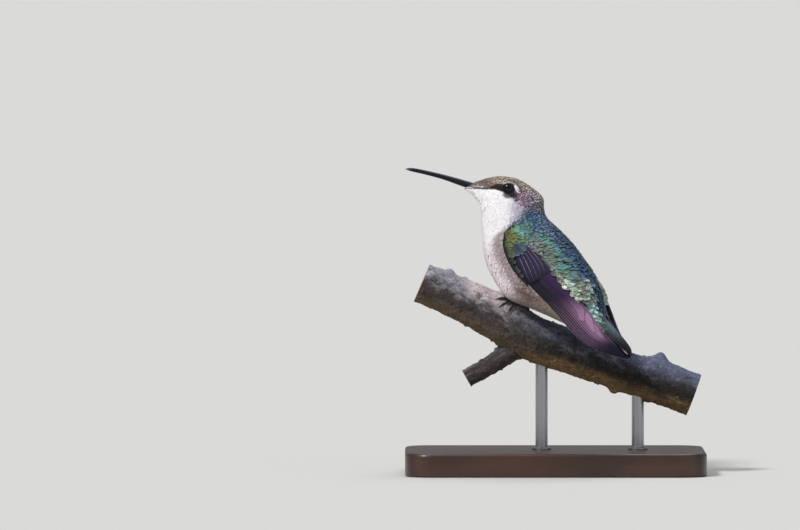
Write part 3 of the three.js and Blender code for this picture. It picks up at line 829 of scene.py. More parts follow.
class Graph:
    """A material's nodes, added one at a time."""

    def __init__(self, name):
        self.material = bpy.data.materials.new(name)
        self.material.use_nodes = True
        self.tree = self.material.node_tree
        self.shader = self.tree.nodes["Principled BSDF"]

    def feed(self, socket, value):
        """Links an output to a socket, or sets the socket's own number or colour."""
        if isinstance(value, bpy.types.NodeSocket):
            self.tree.links.new(value, socket)
        elif value is not None:
            if hasattr(value, "__len__"):
                value = (*value, 1)[: len(socket.default_value)]
            socket.default_value = value

    def node(self, kind, settings=None, **inputs):
        """A new node with its settings, and its inputs by name, with _ for a space."""
        made = self.tree.nodes.new("ShaderNode" + kind)
        for key, value in (settings or {}).items():
            setattr(made, key, value)
        for key, value in inputs.items():
            self.feed(made.inputs[key.replace("_", " ")], value)
        return made

    def math(self, operation, a, b=0.0, c=0.0):
        made = self.node("Math", {"operation": operation})
        for socket, value in zip(made.inputs, (a, b, c)):
            self.feed(socket, value)
        return made.outputs[0]

    def times(self, a, b):
        return self.math("MULTIPLY", a, b)

    def line(self, value, factor, added):
        """A value times a factor, with another added."""
        return self.math("MULTIPLY_ADD", value, factor, added)

    def attribute(self, name, output="Vector"):
        return self.node("Attribute", {"attribute_name": name}).outputs[output]

    def split(self, vector):
        return self.node("SeparateXYZ", Vector=vector).outputs

    def parts(self, name):
        """The three numbers of a vector attribute."""
        return self.split(self.attribute(name))

    def mix(self, share, a, b):
        """Colour a, with colour b laid over it by a share."""
        made = self.node("Mix", {"data_type": "RGBA", "clamp_factor": True})
        self.feed(made.inputs[0], share)
        self.feed(made.inputs[6], a)
        self.feed(made.inputs[7], b)
        return made.outputs[2]

    def step(self, value, low, high, to_low=0.0, to_high=1.0):
        """A smooth step from to_low below low to to_high above high."""
        made = self.node("MapRange", {"interpolation_type": "SMOOTHSTEP"})
        for socket, number in zip(made.inputs, (value, low, high, to_low, to_high)):
            self.feed(socket, number)
        return made.outputs[0]

    def noise(self, scale, detail=3.0, roughness=0.5, vector=None):
        made = self.node("TexNoise", Scale=scale, Detail=detail, Roughness=roughness)
        self.feed(made.inputs["Vector"], vector if vector is not None else self.object_place())
        return made.outputs["Fac"]

    def object_place(self):
        return self.node("TexCoord").outputs["Object"]

    def stretched(self, scale):
        """The object's own coordinates, times a scale for each axis."""
        return self.node("Mapping", Scale=scale, Vector=self.object_place()).outputs[0]

    def bump(self, height, distance, strength):
        return self.node("Bump", Strength=strength, Distance=distance, Height=height).outputs[0]

    def set(self, **inputs):
        """Feeds the shader's sockets by name, and returns the finished material."""
        for key, value in inputs.items():
            self.feed(self.shader.inputs[key.replace("_", " ")], value)
        return self.material


def scaled(colour, share):
    """A colour made darker or brighter."""
    return tuple(x * share for x in colour)


def barbs(graph, along, across, count, slant):
    """Fine lines that leave the shaft toward the tip on both sides."""
    aside = graph.math("ABSOLUTE", across)
    phase = graph.line(aside, -slant, graph.times(along, count))
    wave = graph.math("SINE", graph.times(phase, 2 * math.pi))
    return graph.line(wave, 0.5, 0.5)


def feather_material(name, barb_count, sheen, shade=0.6, mottle=0.9):
    """Plumage that takes its colour, tips and gloss from the vanes' own attributes."""
    g = Graph(name)
    along, across, edge = g.parts("vane")
    edged, gloss, chance = g.parts("touch")
    base = g.attribute("plumage", "Color")
    tips = g.attribute("tips", "Color")
    spread = g.line(chance, 0.8, 0.6)
    grain = g.noise(1700, 4, 0.7)
    value = g.times(spread, g.step(grain, 0.3, 0.7, 1 - mottle / 2, 1 + mottle / 2))
    hue = g.node("HueSaturation", Value=value, Color=base)
    g.feed(hue.inputs["Hue"], g.line(chance, 0.04, 0.48))
    colour = hue.outputs[0]
    ragged = g.line(g.noise(1900, 3, 0.6), 1.1, edge)
    fringe = g.times(g.step(ragged, 1.1, 1.5), edged)
    colour = g.mix(fringe, colour, tips)
    lines = barbs(g, along, across, barb_count, 2.2)
    colour = g.mix(g.times(lines, 0.08), colour, (0.02, 0.02, 0.02))
    # Painted shade on the covered root part of each vane, under the feathers that overlap it.
    root_shade = g.step(along, 0.3, 0.6, 0.6, 1.0)
    colour = g.mix(root_shade, g.mix(shade, colour, (0.03, 0.03, 0.032)), colour)
    shine = g.times(gloss, g.line(fringe, -0.8, 1.0))
    plain, glossy = 0.62, 0.36
    rough = g.line(shine, glossy - plain, plain)
    normal = g.bump(lines, 0.00002, 0.4)
    return g.set(
        Base_Color=colour, Metallic=g.times(shine, 0.85), Roughness=rough, Normal=normal,
        Sheen_Weight=sheen, Sheen_Roughness=0.45, Specular_IOR_Level=0.22,
    )


def middle_of(values, station):
    """The values on each feather's shaft at one station."""
    column = values.shape[2] // 2
    return values[:, station : station + 1, column : column + 1]


def coat_values(colours, feathers, rng):
    """The attributes of body feathers. Each takes most of its colour from where its visible part lies."""
    along, across = feathers["along"], feathers["across"]
    place, angle = middle_of(along, SEEN), middle_of(across, SEEN)
    turn, each = np.abs(angle), (len(along), 1, 1)
    uneven = ease(place, 3.5, 7.5) * (1 - 0.6 * ease(turn, 1.5, 1.9))
    strayed = rng.normal(0, 1, (2, *each)) * uneven
    own = 0.22 + 0.5 * (1 - ease(place, 4.2, 6))
    base, edge, edged, gloss = markings(
        colours,
        place + (along - place) * own + 0.24 * strayed[0],
        angle + (across - angle) * own + 0.1 * strayed[1],
    )
    odd = (rng.uniform(0, 1, each) < 0.28) * ease(place, 8, 11) * ease(turn, 0.3, 0.5) * (turn < 1.6)
    base = mixed(base, np.array(colours.brown), 0.6 * odd)
    strength = rng.uniform(0.4, 1.2, each)
    wide = np.where((turn < 1.7) & (place > 6.9), 0.75, 0.2)
    wide = np.maximum(wide, middle_of(edged, SEEN) > 0.4)
    chance = 0.5 + rng.uniform(-0.5, 0.5, each) * wide
    return vane_values(feathers, base, edge, np.minimum(edged * strength, 1), gloss, chance)


def vane_values(feathers, base, edge, edged, gloss, chance):
    """The attributes of feathers, on both faces of each vane."""
    shape = feathers["along"].shape
    touch = np.stack(np.broadcast_arrays(edged, gloss, chance, np.zeros(shape))[:3], -1)
    return {
        "plumage": on_both(opaque(base, shape)),
        "tips": on_both(opaque(edge, shape)),
        "touch": on_both(touch),
        "vane": on_both(np.array(feathers["vane"])),
    }


# The side of a feather's patch on the OFBake map.
PATCH = 0.003


def feather_object(name, feathers, values, roots_uv, material, slot, *nodes):
    """One mesh of many vanes. Each has a small patch of the OFBake map at its root's place."""
    count, stations, columns = feathers["top"].shape[:3]
    points = both_faces(feathers["top"], feathers["thick"], feathers["normal"])
    each = points.shape[1]
    quads = vane_quads(stations, columns)[None] + (np.arange(count) * each)[:, None, None]
    along, across = values["vane"][..., 0], values["vane"][..., 1]
    uv = roots_uv[:, None] + PATCH * np.stack([across / 2, along - 0.5], -1)
    flat = {k: v.reshape(count * each, -1) for k, v in values.items()}
    piece = mesh_object(name, to_world(points), quads, flat, uv.reshape(-1, 2))
    place_piece(piece, material, slot, *nodes)
    return piece


# --- sizes


class BodySizes(PropertyGroup):
    """Sizes of the skin and of the coat over it."""

    seed: IntProperty(name="Seed", description="Changes how single feathers lie", default=7, min=0)
    exposure: factor("Feather spacing", "How much of each feather shows, as a factor", 1, 0.7, 1.6)
    overlap: factor("Overlap", "A feather's length over the part of it that shows", 3.1, 2, 4)
    coat_head: millimetres("Coat on the head", "Depth of the coat on the head", 0.34, 0.1, 0.8)
    coat_body: millimetres("Coat on the body", "Depth of the coat on the trunk", 0.7, 0.2, 1.5)
    lid_width: millimetres("Eye opening width", "Length of the opening between the lids", 2.5, 1.5, 3.4)
    lid_height: millimetres("Eye opening height", "Height of the opening between the lids", 2.3, 1.5, 3.4)


def face_place(x, z, side):
    """The head's place and angle at a point of the side view, and its distance from the middle plane."""
    place, share, _ = crossing(BODY, (2, 3, 0, 1), 1, TRUNK_FROM, x, z)
    row = read_rows(BODY, place)
    up = np.clip(2 * share - 1, -1, 1)
    half = np.sqrt(1 - up * up) * (row[..., 4] * (1 + row[..., 5] * up) + brow(x, z))
    return place, side * np.arccos(up), side * half


def opening(sizes):
    """Half the length and half the height of the opening between the lids, in millimetres."""
    return sizes.lid_width / MM / 2, sizes.lid_height / MM / 2


def round_eye(sizes, ring, turn):
    """The side view's point at a distance from an eye, 1 at its lids, and a turn from behind it upward."""
    half_width, half_height = opening(sizes)
    return EYE["x"] + ring * half_width * np.cos(turn), EYE["z"] + ring * half_height * np.sin(turn)


def eye_loft(sizes, name):
    """The lids and the face round an eye, steered over by the distance from it and the turn round it."""
    eye, side = eye_frames()[name], SIDES[name]

    def point(ring, turn):
        x, z = round_eye(sizes, ring, turn)
        x, y = turned(x, face_place(x, z, side)[2], HEAD_TURN)
        here = np.stack([x, y, z], -1)
        back, up, _, height = eye_coordinates(eye, sizes, here)
        rise = np.maximum(ball_height(back, up) + 0.12 - height, 0) * (1 - ease(ring, 1.12, 1.6))
        return here + rise[..., None] * eye["out"]

    return Loft(point, np.linspace(0.9, 2.6, 35), np.linspace(0, 2 * math.pi, 97), -side)


def ball_height(back, up):
    """The height of an eyeball's surface over its centre."""
    return np.sqrt(np.maximum(EYE["radius"] ** 2 - back**2 - up**2, 0.01))


def eye_frames():
    """Each eye's centre, outward axis, and the directions back and up in its opening."""
    _, angle, surface = face_place(EYE["x"] + np.zeros(1), EYE["z"] + np.zeros(1), 1)
    surface = (surface - np.sin(angle) * brow(EYE["x"], EYE["z"]))[0]
    cos, sin = math.cos(HEAD_TURN), math.sin(HEAD_TURN)
    frames = {}
    for name, side in SIDES.items():
        across = side * (surface + EYE["proud"] - EYE["radius"])
        x, y = turned(EYE["x"], across, HEAD_TURN)
        frames[name] = {
            "centre": np.array([x, y, EYE["z"]]),
            "out": np.array([-sin * side, cos * side, 0.0]),
            "back": np.array([cos, sin, 0.0]),
            "up": np.array([0.0, 0.0, 1.0]),
        }
    return frames


def eye_coordinates(eye, sizes, points):
    """Distances from the middle of the eye opening, 1 at its edge, and height over the eye's centre."""
    away = points - eye["centre"]
    back, up = away @ eye["back"], away @ eye["up"]
    half_width, half_height = opening(sizes)
    return back, up, np.hypot(back / half_width, up / half_height), away @ eye["out"]


def near_an_eye(sizes, points):
    """True for points in front of an eye and within its lids."""
    near = np.zeros(points.shape[:-1], bool)
    for eye in eye_frames().values():
        _, _, ring, height = eye_coordinates(eye, sizes, points)
        near |= (ring < LID_EDGE) & (height > 0)
    return near


def clear_of_eyes(sizes, points):
    """Moves coat points that would cover an eye out to the edge of its lids."""
    for eye in eye_frames().values():
        back, up, ring, height = eye_coordinates(eye, sizes, points)
        near = (ring < 1.3) & (height > 0)
        wanted = 1.08 + 0.22 * (ring / 1.3) ** 2
        grow = np.where(near, wanted / np.maximum(ring, 0.05) - 1, 0)
        points = points + (back * grow)[..., None] * eye["back"] + (up * grow)[..., None] * eye["up"]
    return points


def coat_depth(sizes, place, angle):
    """How deep the coat is over the skin, in millimetres."""
    head, body = sizes.coat_head / MM, sizes.coat_body / MM
    depth = head * ease(place, -0.6, 1.2) + (body - head) * ease(place, 5.5, 9.5)
    return depth * (1 - 0.35 * ease(np.abs(angle), 1.4, 2))


def over_wings(points, along, across):
    """Lifts the back feathers that lie over the upper edge of a folded wing."""
    x, y, z, _ = body_flat(along, across)
    place, share, reached = wing_place(x, z)
    _, _, sheet = wing_sheet(place, np.clip(share, 0, 1.3))
    tip_place, tip_share = middle_of(place, NEAR_TIP), middle_of(share, NEAR_TIP)
    on_wing = middle_of(reached, NEAR_TIP) & (tip_place > 0.02) & (tip_place < 4.7)
    lies_over = on_wing & (tip_share > np.interp(tip_place, *SCAPULARS_EDGE))
    turn = from_zero(across)
    beside = ease(turn, 0.5, 0.72) * (turn < 1.75)
    fading = (1 - ease(share, 1.15, 1.6)) * reached * lies_over * beside
    move = np.maximum(sheet + 0.15 - np.abs(y), 0) * fading
    moved = points.copy()
    moved[..., 1] += np.sign(y) * move
    return moved


def coat_shift(sizes):
    """What moves the coat's points clear of the wings, the eyes and the branch."""

    def shift(points, along, across):
        points = over_wings(points, along, across)
        points = clear_of_eyes(sizes, points)
        return clear_of_branch(points, 0.35)

    return shift


def covered(place, angle):
    """True for roots well under a folded wing or under the tail."""
    x, _, z, _ = body_flat(place, angle)
    at, share, reached = wing_place(x, z)
    s = from_zero(angle)
    under_wing = reached & (share > 0.22) & (share < 0.7) & (at > 1.0) & (at < 6.0)
    under_wing &= (s > 0.9) & (s < 2.3) & (place > 7.2)
    return under_wing | (place > TAIL_ROOT[0][0]) & (s < np.interp(place, *TAIL_ROOT))


# --- pieces


class PieceOperator(Operator):
    """Base of the operators that each build a piece or a group of like pieces."""

    bl_options = {"REGISTER", "UNDO"}

    def execute(self, context):
        self.build(context.scene.hummingbird)
        return {"FINISHED"}


class HUMMINGBIRD_OT_skin(PieceOperator):
    """Builds the skin under the coat, with a ring of lids round each eye and the thighs"""

    bl_idname = "hummingbird.skin"
    bl_label = "Skin"

    def build(self, settings):
        sizes = settings.body
        loft = body_loft()
        a, b = grid(*self.lines())
        here, normal, _, _ = loft.frame(a, b)
        points = here - normal * (coat_depth(sizes, a, b) + 0.05)[..., None]
        for eye in eye_frames().values():
            points = self.with_lids(eye, sizes, points)
        points = clear_of_branch(points, 0.25)
        base = markings(settings.plumage, a, b)[0]
        bare = np.zeros(a.shape)
        for eye in eye_frames().values():
            _, _, ring, height = eye_coordinates(eye, sizes, points)
            bare = np.maximum(bare, (1 - ease(ring, 1.1, 1.35)) * (height > 0))
        values = {
            "plumage": opaque(base, a.shape).reshape(-1, 4),
            "bare": bare.ravel(),
            "uv": unwrapped(loft, a, b).reshape(-1, 2),
        }
        parts = [(to_world(points), closed_quads(*a.shape), values)]
        for name in SIDES:
            parts.append(self.thigh(settings, name))
        points, quads, values = joined(parts)
        uv = values.pop("uv")
        piece = mesh_object("skin", points, quads, values, uv, sharp=80)
        place_piece(piece, skin_material(), "plumage_back", "head", "neck", "trunk", "leg_left", "leg_right")

    def lines(self):
        """Places along the body and angles round it for the skin's points, closest about the eyes."""
        ahead, eyes, behind = np.linspace(0, 2.3, 40), np.linspace(2.3, 4.7, 76), np.linspace(4.7, 18, 150)
        place = np.concatenate([ahead[:-1], eyes, behind[1:]])
        top, face, below = np.linspace(0, 0.55, 18), np.linspace(0.55, 1.5, 70), np.linspace(1.5, math.pi, 44)
        angle = np.concatenate([top[:-1], face, below[1:]])
        return place, np.concatenate([angle, -angle[1:-1][::-1]])

    def with_lids(self, eye, sizes, points):
        """Sinks the skin under the eyeball and raises a lid ridge round it."""
        back, up, ring, height = eye_coordinates(eye, sizes, points)
        ball = ball_height(back, up)
        target = ball - 0.16 + 0.25 * ease(ring, 0.97, 1.03) - 0.06 * ease(ring, 1.08, 1.16)
        move = (target - height) * (1 - ease(ring, 1.12, 1.5)) * (height > 0)
        on_lid = (ring > 1) & (ring < 1.2) & (height > 0)
        move = np.where(on_lid, np.maximum(move, ball + 0.03 - height), move)
        return points + move[..., None] * eye["out"]

    def thigh(self, settings, name):
        """The feathered part of a leg, down to the ankle."""
        ankle = foot_centre(name)
        hip = to_world(np.array(HIP) * (1, SIDES[name], 1)) / MM
        share = np.linspace(0, 1, 14)
        path = ankle + (hip - ankle) * share[:, None]
        points, quads, _ = tube(path, 0.36 + 0.95 * ease(share, 0.25, 0.85), 20)
        dark = np.array([*settings.feet.skin, 1.0])
        return points * MM, quads, {
            "plumage": np.tile(dark, (len(points), 1)),
            "bare": np.zeros(len(points)),
            "uv": np.tile([0.5, 0.6], (len(points), 1)),
        }


def loft_share(loft, along, across):
    """How far along its meridian a place lies, from 0 to 1."""
    rows = np.interp(along, loft.along, np.arange(len(loft.along)))
    columns = np.interp(across, loft.across, np.arange(len(loft.across)))
    low = np.floor(rows).astype(int).clip(0, len(loft.along) - 2)
    part = rows - low
    column = np.round(columns).astype(int)
    run = loft.run[low, column] * (1 - part) + loft.run[low + 1, column] * part
    return 0.02 + 0.96 * run / loft.run[-1, column]


def unwrapped(loft, along, across):
    """The places of body points on the OFBake map: round the body, and along it."""
    return np.stack([across / (2 * math.pi) + 0.5, loft_share(loft, along, across)], -1)


def skin_material():
    """Fine wrinkled skin in the coat's colours, darkened as painted shade under the feathers, and dark and
    bare on the lids.
    """
    g = Graph("skin")
    bare = g.attribute("bare", "Fac")
    grain = g.noise(3200, 4, 0.6)
    # The coat's colours darkened by a grain: painted shade where the skin shows between the feathers.
    colour = g.mix(g.line(grain, 0.5, 0.1), g.attribute("plumage", "Color"), (0.05, 0.045, 0.045))
    lid = g.mix(g.noise(6000, 2, 0.5), (0.006, 0.005, 0.006), (0.02, 0.018, 0.02))
    colour = g.mix(bare, colour, lid)
    normal = g.bump(g.noise(5200, 3, 0.6), 0.00006, 0.6)
    rough = g.step(bare, 0, 1, 0.8, 0.6)
    return g.set(Base_Color=colour, Roughness=rough, Normal=normal, Specular_IOR_Level=0.2)


class EyeSettings(PropertyGroup):
    """Size and colours of the eyes."""

    iris: colour_property("Iris", "Ring round the pupil", (13, 9, 10))
    pupil: colour_property("Pupil", "Middle of the eye", (4, 4, 5))
    iris_radius: millimetres("Iris radius", "Outer radius of the iris", 1.28, 0.6, 1.8)
    pupil_radius: millimetres("Pupil radius", "Radius of the pupil", 0.72, 0.3, 1.4)


class HUMMINGBIRD_OT_eyes(PieceOperator):
    """Builds the two glossy eyes: the ball's front, with a bulging cornea, and a narrower back in the head"""

    bl_idname = "hummingbird.eyes"
    bl_label = "Eyes"

    def build(self, settings):
        material = eye_material(settings.eyes)
        ball, iris = EYE["radius"], settings.eyes.iris_radius / MM
        half_width, _ = opening(settings.body)
        cap = math.asin(min(half_width * 1.06 / ball, 1))
        polar = np.concatenate([[0.01], np.linspace(0.04, math.pi - 0.04, 60), [math.pi - 0.01]])
        p, q = grid(polar, full_turn(72))
        cornea = 0.03 * (1 - ease(ball * np.sin(p), iris * 0.6, iris * 1.1)) * (p < 1.5)
        radius = ball - 0.03 + cornea
        behind = np.maximum(p - cap, 0) / (math.pi - cap) * math.pi / 2
        out = radius * np.cos(np.minimum(p, cap)) - 1.6 * np.sin(behind)
        away = radius * np.sin(np.minimum(p, cap)) * np.cos(behind) ** 0.5
        ring = np.where(p < cap, away, 2 * ball)
        spoke = np.stack([np.cos(q), np.sin(q), ring], -1)
        values = {"ring": ring.ravel(), "spoke": spoke.reshape(-1, 3)}
        steps = np.stack([out, away * np.cos(q), away * np.sin(q)], -1)
        for name, eye in eye_frames().items():
            points = eye["centre"] + steps @ np.stack([eye["out"], eye["back"], eye["up"]])
            points, quads = to_world(points), closed_quads(*p.shape)
            piece = mesh_object(f"eyeball_{name}", points, quads, values, sharp=180)
            place_piece(piece, material, "eye", f"eye_{name}")


def eye_material(settings):
    """A dark pupil in a brown iris, under a wet gloss."""
    g = Graph("eye")
    ring = g.times(g.attribute("ring", "Fac"), MM)
    spokes = g.noise(3.2, 4, 0.6, g.attribute("spoke"))
    iris = g.mix(spokes, settings.iris, scaled(settings.iris, 2.2))
    past_pupil = g.step(ring, settings.pupil_radius * 0.94, settings.pupil_radius * 1.06)
    past_iris = g.step(ring, settings.iris_radius * 0.96, settings.iris_radius * 1.1)
    colour = g.mix(past_pupil, settings.pupil, iris)
    colour = g.mix(past_iris, colour, (0.004, 0.003, 0.004))
    return g.set(
        Base_Color=colour, Roughness=0.04, Coat_Weight=0.1, Coat_Roughness=0.015, Specular_IOR_Level=0.25
    )


class BillSettings(PropertyGroup):
    """Shape and colour of the bill."""

    horn: colour_property("Horn", "The bill's colour", (9, 10, 17))
    # A painted highlight: bluish colour along the ridge of the black horn.
    painted_ridge_highlight: colour_property("Bloom", "Bluish horn along the ridge", (92, 102, 134))
    groove: millimetres("Nostril groove", "Depth of the groove over each nostril", 0.16, 0, 0.4)
    parting: millimetres("Parting", "Gap between the two halves of the bill", 0.05, 0.01, 0.2)


class HUMMINGBIRD_OT_bill(PieceOperator):
    """Builds the two halves of the bill, with their meeting edges and the nostril grooves"""

    bl_idname = "hummingbird.bill"
    bl_label = "Bill"

    def build(self, settings):
        material = bill_material(settings.bill)
        for half, name in ((1, "bill_upper"), (-1, "bill_lower")):
            points, quads, values = self.mandible(settings.bill, half)
            piece = mesh_object(f"{name}_horn", to_world(points), quads, values, sharp=60)
            place_piece(piece, material, "bill_horn", name)

    def mandible(self, settings, half):
        """One half of the bill: 1 for the upper, -1 for the lower."""
        rings, around = 120, 40
        place = np.linspace(0, len(BILL) - 1, rings)
        x, z, depth, width = (values[:, None] for values in read_rows(BILL, place).T)
        ahead_x, ahead_z = (values[:, None] for values in heading(BILL, place))
        step_x, step_z = (np.diff(values, axis=0, prepend=values[:1]) for values in (x, z))
        run = np.cumsum(np.hypot(step_x, step_z), axis=0)
        tip = np.clip((run[-1] - run) / 2.4, 0, 1)
        taper = (1 - (1 - tip) ** 2) ** 0.6 * 0.98 + 0.02
        parting = -0.16 * depth
        gap = settings.parting / MM / 2
        aside, flat = np.cos(full_turn(around))[None], np.sin(full_turn(around))[None]
        tall = depth - half * parting - gap
        lift = np.where(flat > 0, np.abs(flat) ** 0.85, -0.05 * np.abs(flat))
        groove = bell(run, 3.4, 2.4) * bell(flat, 0.5, 0.24)
        pinch = 1 - (settings.groove / MM) / 0.9 * groove * (half > 0)
        y = width * aside * taper * pinch * (1 if half > 0 else 0.9)
        up = parting + half * (gap + tall * lift * taper)
        turned_x, turned_y = turned(x + ahead_z * up, y, HEAD_TURN)
        points = np.stack([turned_x, turned_y, z - ahead_x * up], -1)
        ridge = np.clip(flat, 0, 1) * (half > 0)
        ridge, groove = np.broadcast_arrays(ridge, groove)
        return points, closed_quads(rings, around), {"ridge": ridge.ravel(), "groove": groove.ravel()}


def bill_material(settings):
    """Smooth black horn with a painted bluish highlight along the ridge, and darker in the grooves."""
    g = Graph("bill_horn")
    ridge, groove = g.attribute("ridge", "Fac"), g.attribute("groove", "Fac")
    streaks = g.noise(900, 4, 0.6)
    fine = g.noise(5200, 3, 0.6)
    # Painted highlight along the upper ridge, broken by streaks.
    lift = g.times(g.step(ridge, 0.5, 0.95), g.line(streaks, 1.0, 0.2))
    colour = g.mix(lift, settings.horn, settings.painted_ridge_highlight)
    colour = g.mix(g.step(groove, 0.4, 0.9, 0, 0.7), colour, (0.004, 0.004, 0.004))
    rough = g.line(fine, 0.2, 0.34)
    normal = g.bump(g.math("ADD", streaks, g.times(fine, 0.5)), 0.00003, 0.5)
    return g.set(Base_Color=colour, Roughness=rough, Normal=normal, Specular_IOR_Level=0.3)


# The coat's regions: which feathers are in each, and how they are shaped.
STYLE_KEYS = (
    "shape", "columns", "notch", "round", "camber", "tip", "ridge", "stray", "thick", "settle", "fringe",
)
STYLES = {
    "face": ("hair", 7, 0.5, 0.5, 0.1, 0.03, 0.3, 0.12, 0.02, 1.7, 0.7),
    "crown": ("scale", 11, 0.2, 0.4, 0.12, 0.05, 0.4, 0.14, 0.02, 1.5, 0.56),
    "throat": ("hair", 5, 0.3, 0.8, 0.05, 0.01, 0.0, 0.14, 0.012, 2.4, 0.76),
    "mantle": ("scale", 9, 0.2, 0.45, 0.09, 0.04, 0.4, 0.15, 0.02, 1.8, 0.7),
    "back": ("scale", 9, 0.2, 0.45, 0.09, 0.04, 0.4, 0.16, 0.02, 1.8, 0.7),
    "breast": ("hair", 5, 0.3, 0.8, 0.05, 0.012, 0.0, 0.16, 0.012, 2.4, 0.76),
    "rump": ("hair", 9, 0.3, 0.5, 0.1, 0.05, 0.4, 0.2, 0.02, 1.5, 0.7),
}
STYLES = {name: dict(zip(STYLE_KEYS, row)) for name, row in STYLES.items()}
SLOTS = {
    **dict.fromkeys(("face", "crown"), "plumage_crown"),
    **dict.fromkeys(("throat", "breast"), "plumage_throat"),
    **dict.fromkeys(("mantle", "back", "rump"), "plumage_back"),
}
# How much of a feather shows, in millimetres, at places along the body.
SHOWN = (
    [0, 1, 2.2, 4, 6, 7.5, 9, 11, 14, 17],
    [0.3, 0.38, 0.43, 0.47, 0.5, 0.54, 0.59, 0.63, 0.7, 1.0],
)


def regions(place, angle):
    """The name of the coat's region at each root."""
    s = np.abs(angle)
    cap = (s < np.interp(place, *CAP_EDGE)) & (place < np.interp(s, *CAP_END))
    x, _, z, _ = body_flat(place, angle)
    near_eye = np.hypot(x - EYE["x"], z - EYE["z"]) < 2.7
    face = (place < 1.7) | (near_eye & (place < 6) & (s > 0.4) & (s < 1.7))
    face |= (x < -1.5) & cap & (s > 0.85)
    under = (s > 1.62) | ((place < 6.85) & ~cap)
    names = np.full(place.shape, "mantle", dtype=object)
    names[under & (place < 7.2)] = "throat"
    names[under & (place >= 7.2)] = "breast"
    names[~under & (place >= 9.4)] = "back"
    names[~under & (place >= 12.2)] = "rump"
    names[cap] = "crown"
    names[face] = "face"
    return names


class HUMMINGBIRD_OT_coat(PieceOperator):
    """Builds the coat of head, neck and trunk, region by region"""

    bl_idname = "hummingbird.coat"
    bl_label = "Coat"

    def build(self, settings):
        sizes = settings.body
        rng = np.random.default_rng(sizes.seed)
        loft = body_loft()

        def exposure(a, b):
            x, _, z, _ = body_flat(a, b)
            from_eye = np.hypot(x - EYE["x"], z - EYE["z"])
            shown = np.interp(a, *SHOWN) * (1 + 0.08 * ease(np.abs(b), 1.5, 2.1) * ease(a, 5, 9))
            return shown * (0.62 + 0.38 * ease(from_eye, 1.6, 4.0)) * sizes.exposure

        def breadth(a, b):
            below = ease(np.abs(b), 1.5, 2.1) * ease(a, 5, 8)
            return exposure(a, b) * (np.interp(a, [0, 3, 8], [1.15, 1.3, 1.4]) - 0.25 * below)

        place, angle = staggered_roots(loft, exposure, breadth, 0.12, rng)
        keep = ~covered(place, angle) & (place < 16.4)
        keep &= ~near_an_eye(sizes, body_point(place, angle))
        place, angle = place[keep], angle[keep]
        whole = exposure(place, angle) * sizes.overlap
        length = self.short_of_eyes(sizes, loft, place, angle, whole * rng.uniform(0.88, 1.2, len(place)))
        wide = 0.66 + 0.1 * ease(np.abs(angle), 1.5, 2)
        half = breadth(place, angle) * wide * rng.uniform(0.85, 1.2, len(place))
        depth = coat_depth(sizes, place, angle) * np.minimum(length / whole, 1)
        names = regions(place, angle)
        soft = feather_material("soft_feathers", 16, 0.15, 0.2, 0.16)
        glossy = feather_material("glossy_feathers", 14, 0.08)
        for name, style in STYLES.items():
            material = glossy if SLOTS[name] == "plumage_back" else soft
            for end, on_side in (("left", angle < 0), ("right", angle >= 0)):
                chosen = (names == name) & on_side
                roots, own = (place[chosen], angle[chosen]), (length[chosen], half[chosen], depth[chosen])
                feathers = contour_feathers(loft, roots, own, style, rng, coat_shift(sizes))
                values = coat_values(settings.plumage, feathers, rng)
                uv = unwrapped(loft, *roots)
                feather_object(f"feathers_{name}_{end}", feathers, values, uv, material, SLOTS[name])
        for name, side in SIDES.items():
            self.eye_ring(settings, loft, name, side, soft, rng)

    def eye_ring(self, settings, loft, name, side, material, rng):
        """Three rings of tiny feathers that part in front of an eye and close behind it."""
        each, rings = 52, ((1.03, 0, 0.11), (1.2, 0.5, 0.13), (1.38, 0, 0.15))
        ring, shift, half = (np.repeat(values, each) for values in zip(*rings))
        count = len(ring)
        turn = 2 * math.pi / each * (np.tile(np.arange(each), len(rings)) + shift)
        turn = turn + rng.uniform(-0.03, 0.03, count)
        ring = ring + rng.uniform(-0.03, 0.03, count)
        sizes = (rng.uniform(0.45, 0.65, count), half, np.full(count, 0.04))
        sweep = -1.15 * np.sin(turn) * (1 - 0.4 * np.cos(turn))
        feathers = contour_feathers(
            eye_loft(settings.body, name), (ring, turn), sizes, STYLES["face"], rng, sweep=sweep
        )
        around = round_eye(settings.body, feathers["along"], feathers["across"])
        feathers["along"], feathers["across"], _ = face_place(*around, side)
        roots = face_place(*round_eye(settings.body, ring, turn), side)[:2]
        values = coat_values(settings.plumage, feathers, rng)
        uv = unwrapped(loft, *roots)
        feather_object(f"feathers_eye_ring_{name}", feathers, values, uv, material, SLOTS["face"])

    def short_of_eyes(self, sizes, loft, place, angle, length):
        """Shortens the feathers that point at an eye, so that they end at its lids."""
        here, _, forward, _ = loft.frame(place, angle)
        for share in np.linspace(0.1, 1, 19):
            hit = near_an_eye(sizes, here + forward * (length * share)[:, None])
            length = np.where(hit, np.maximum(length * share, 0.35), length)
        return length


# --- wings


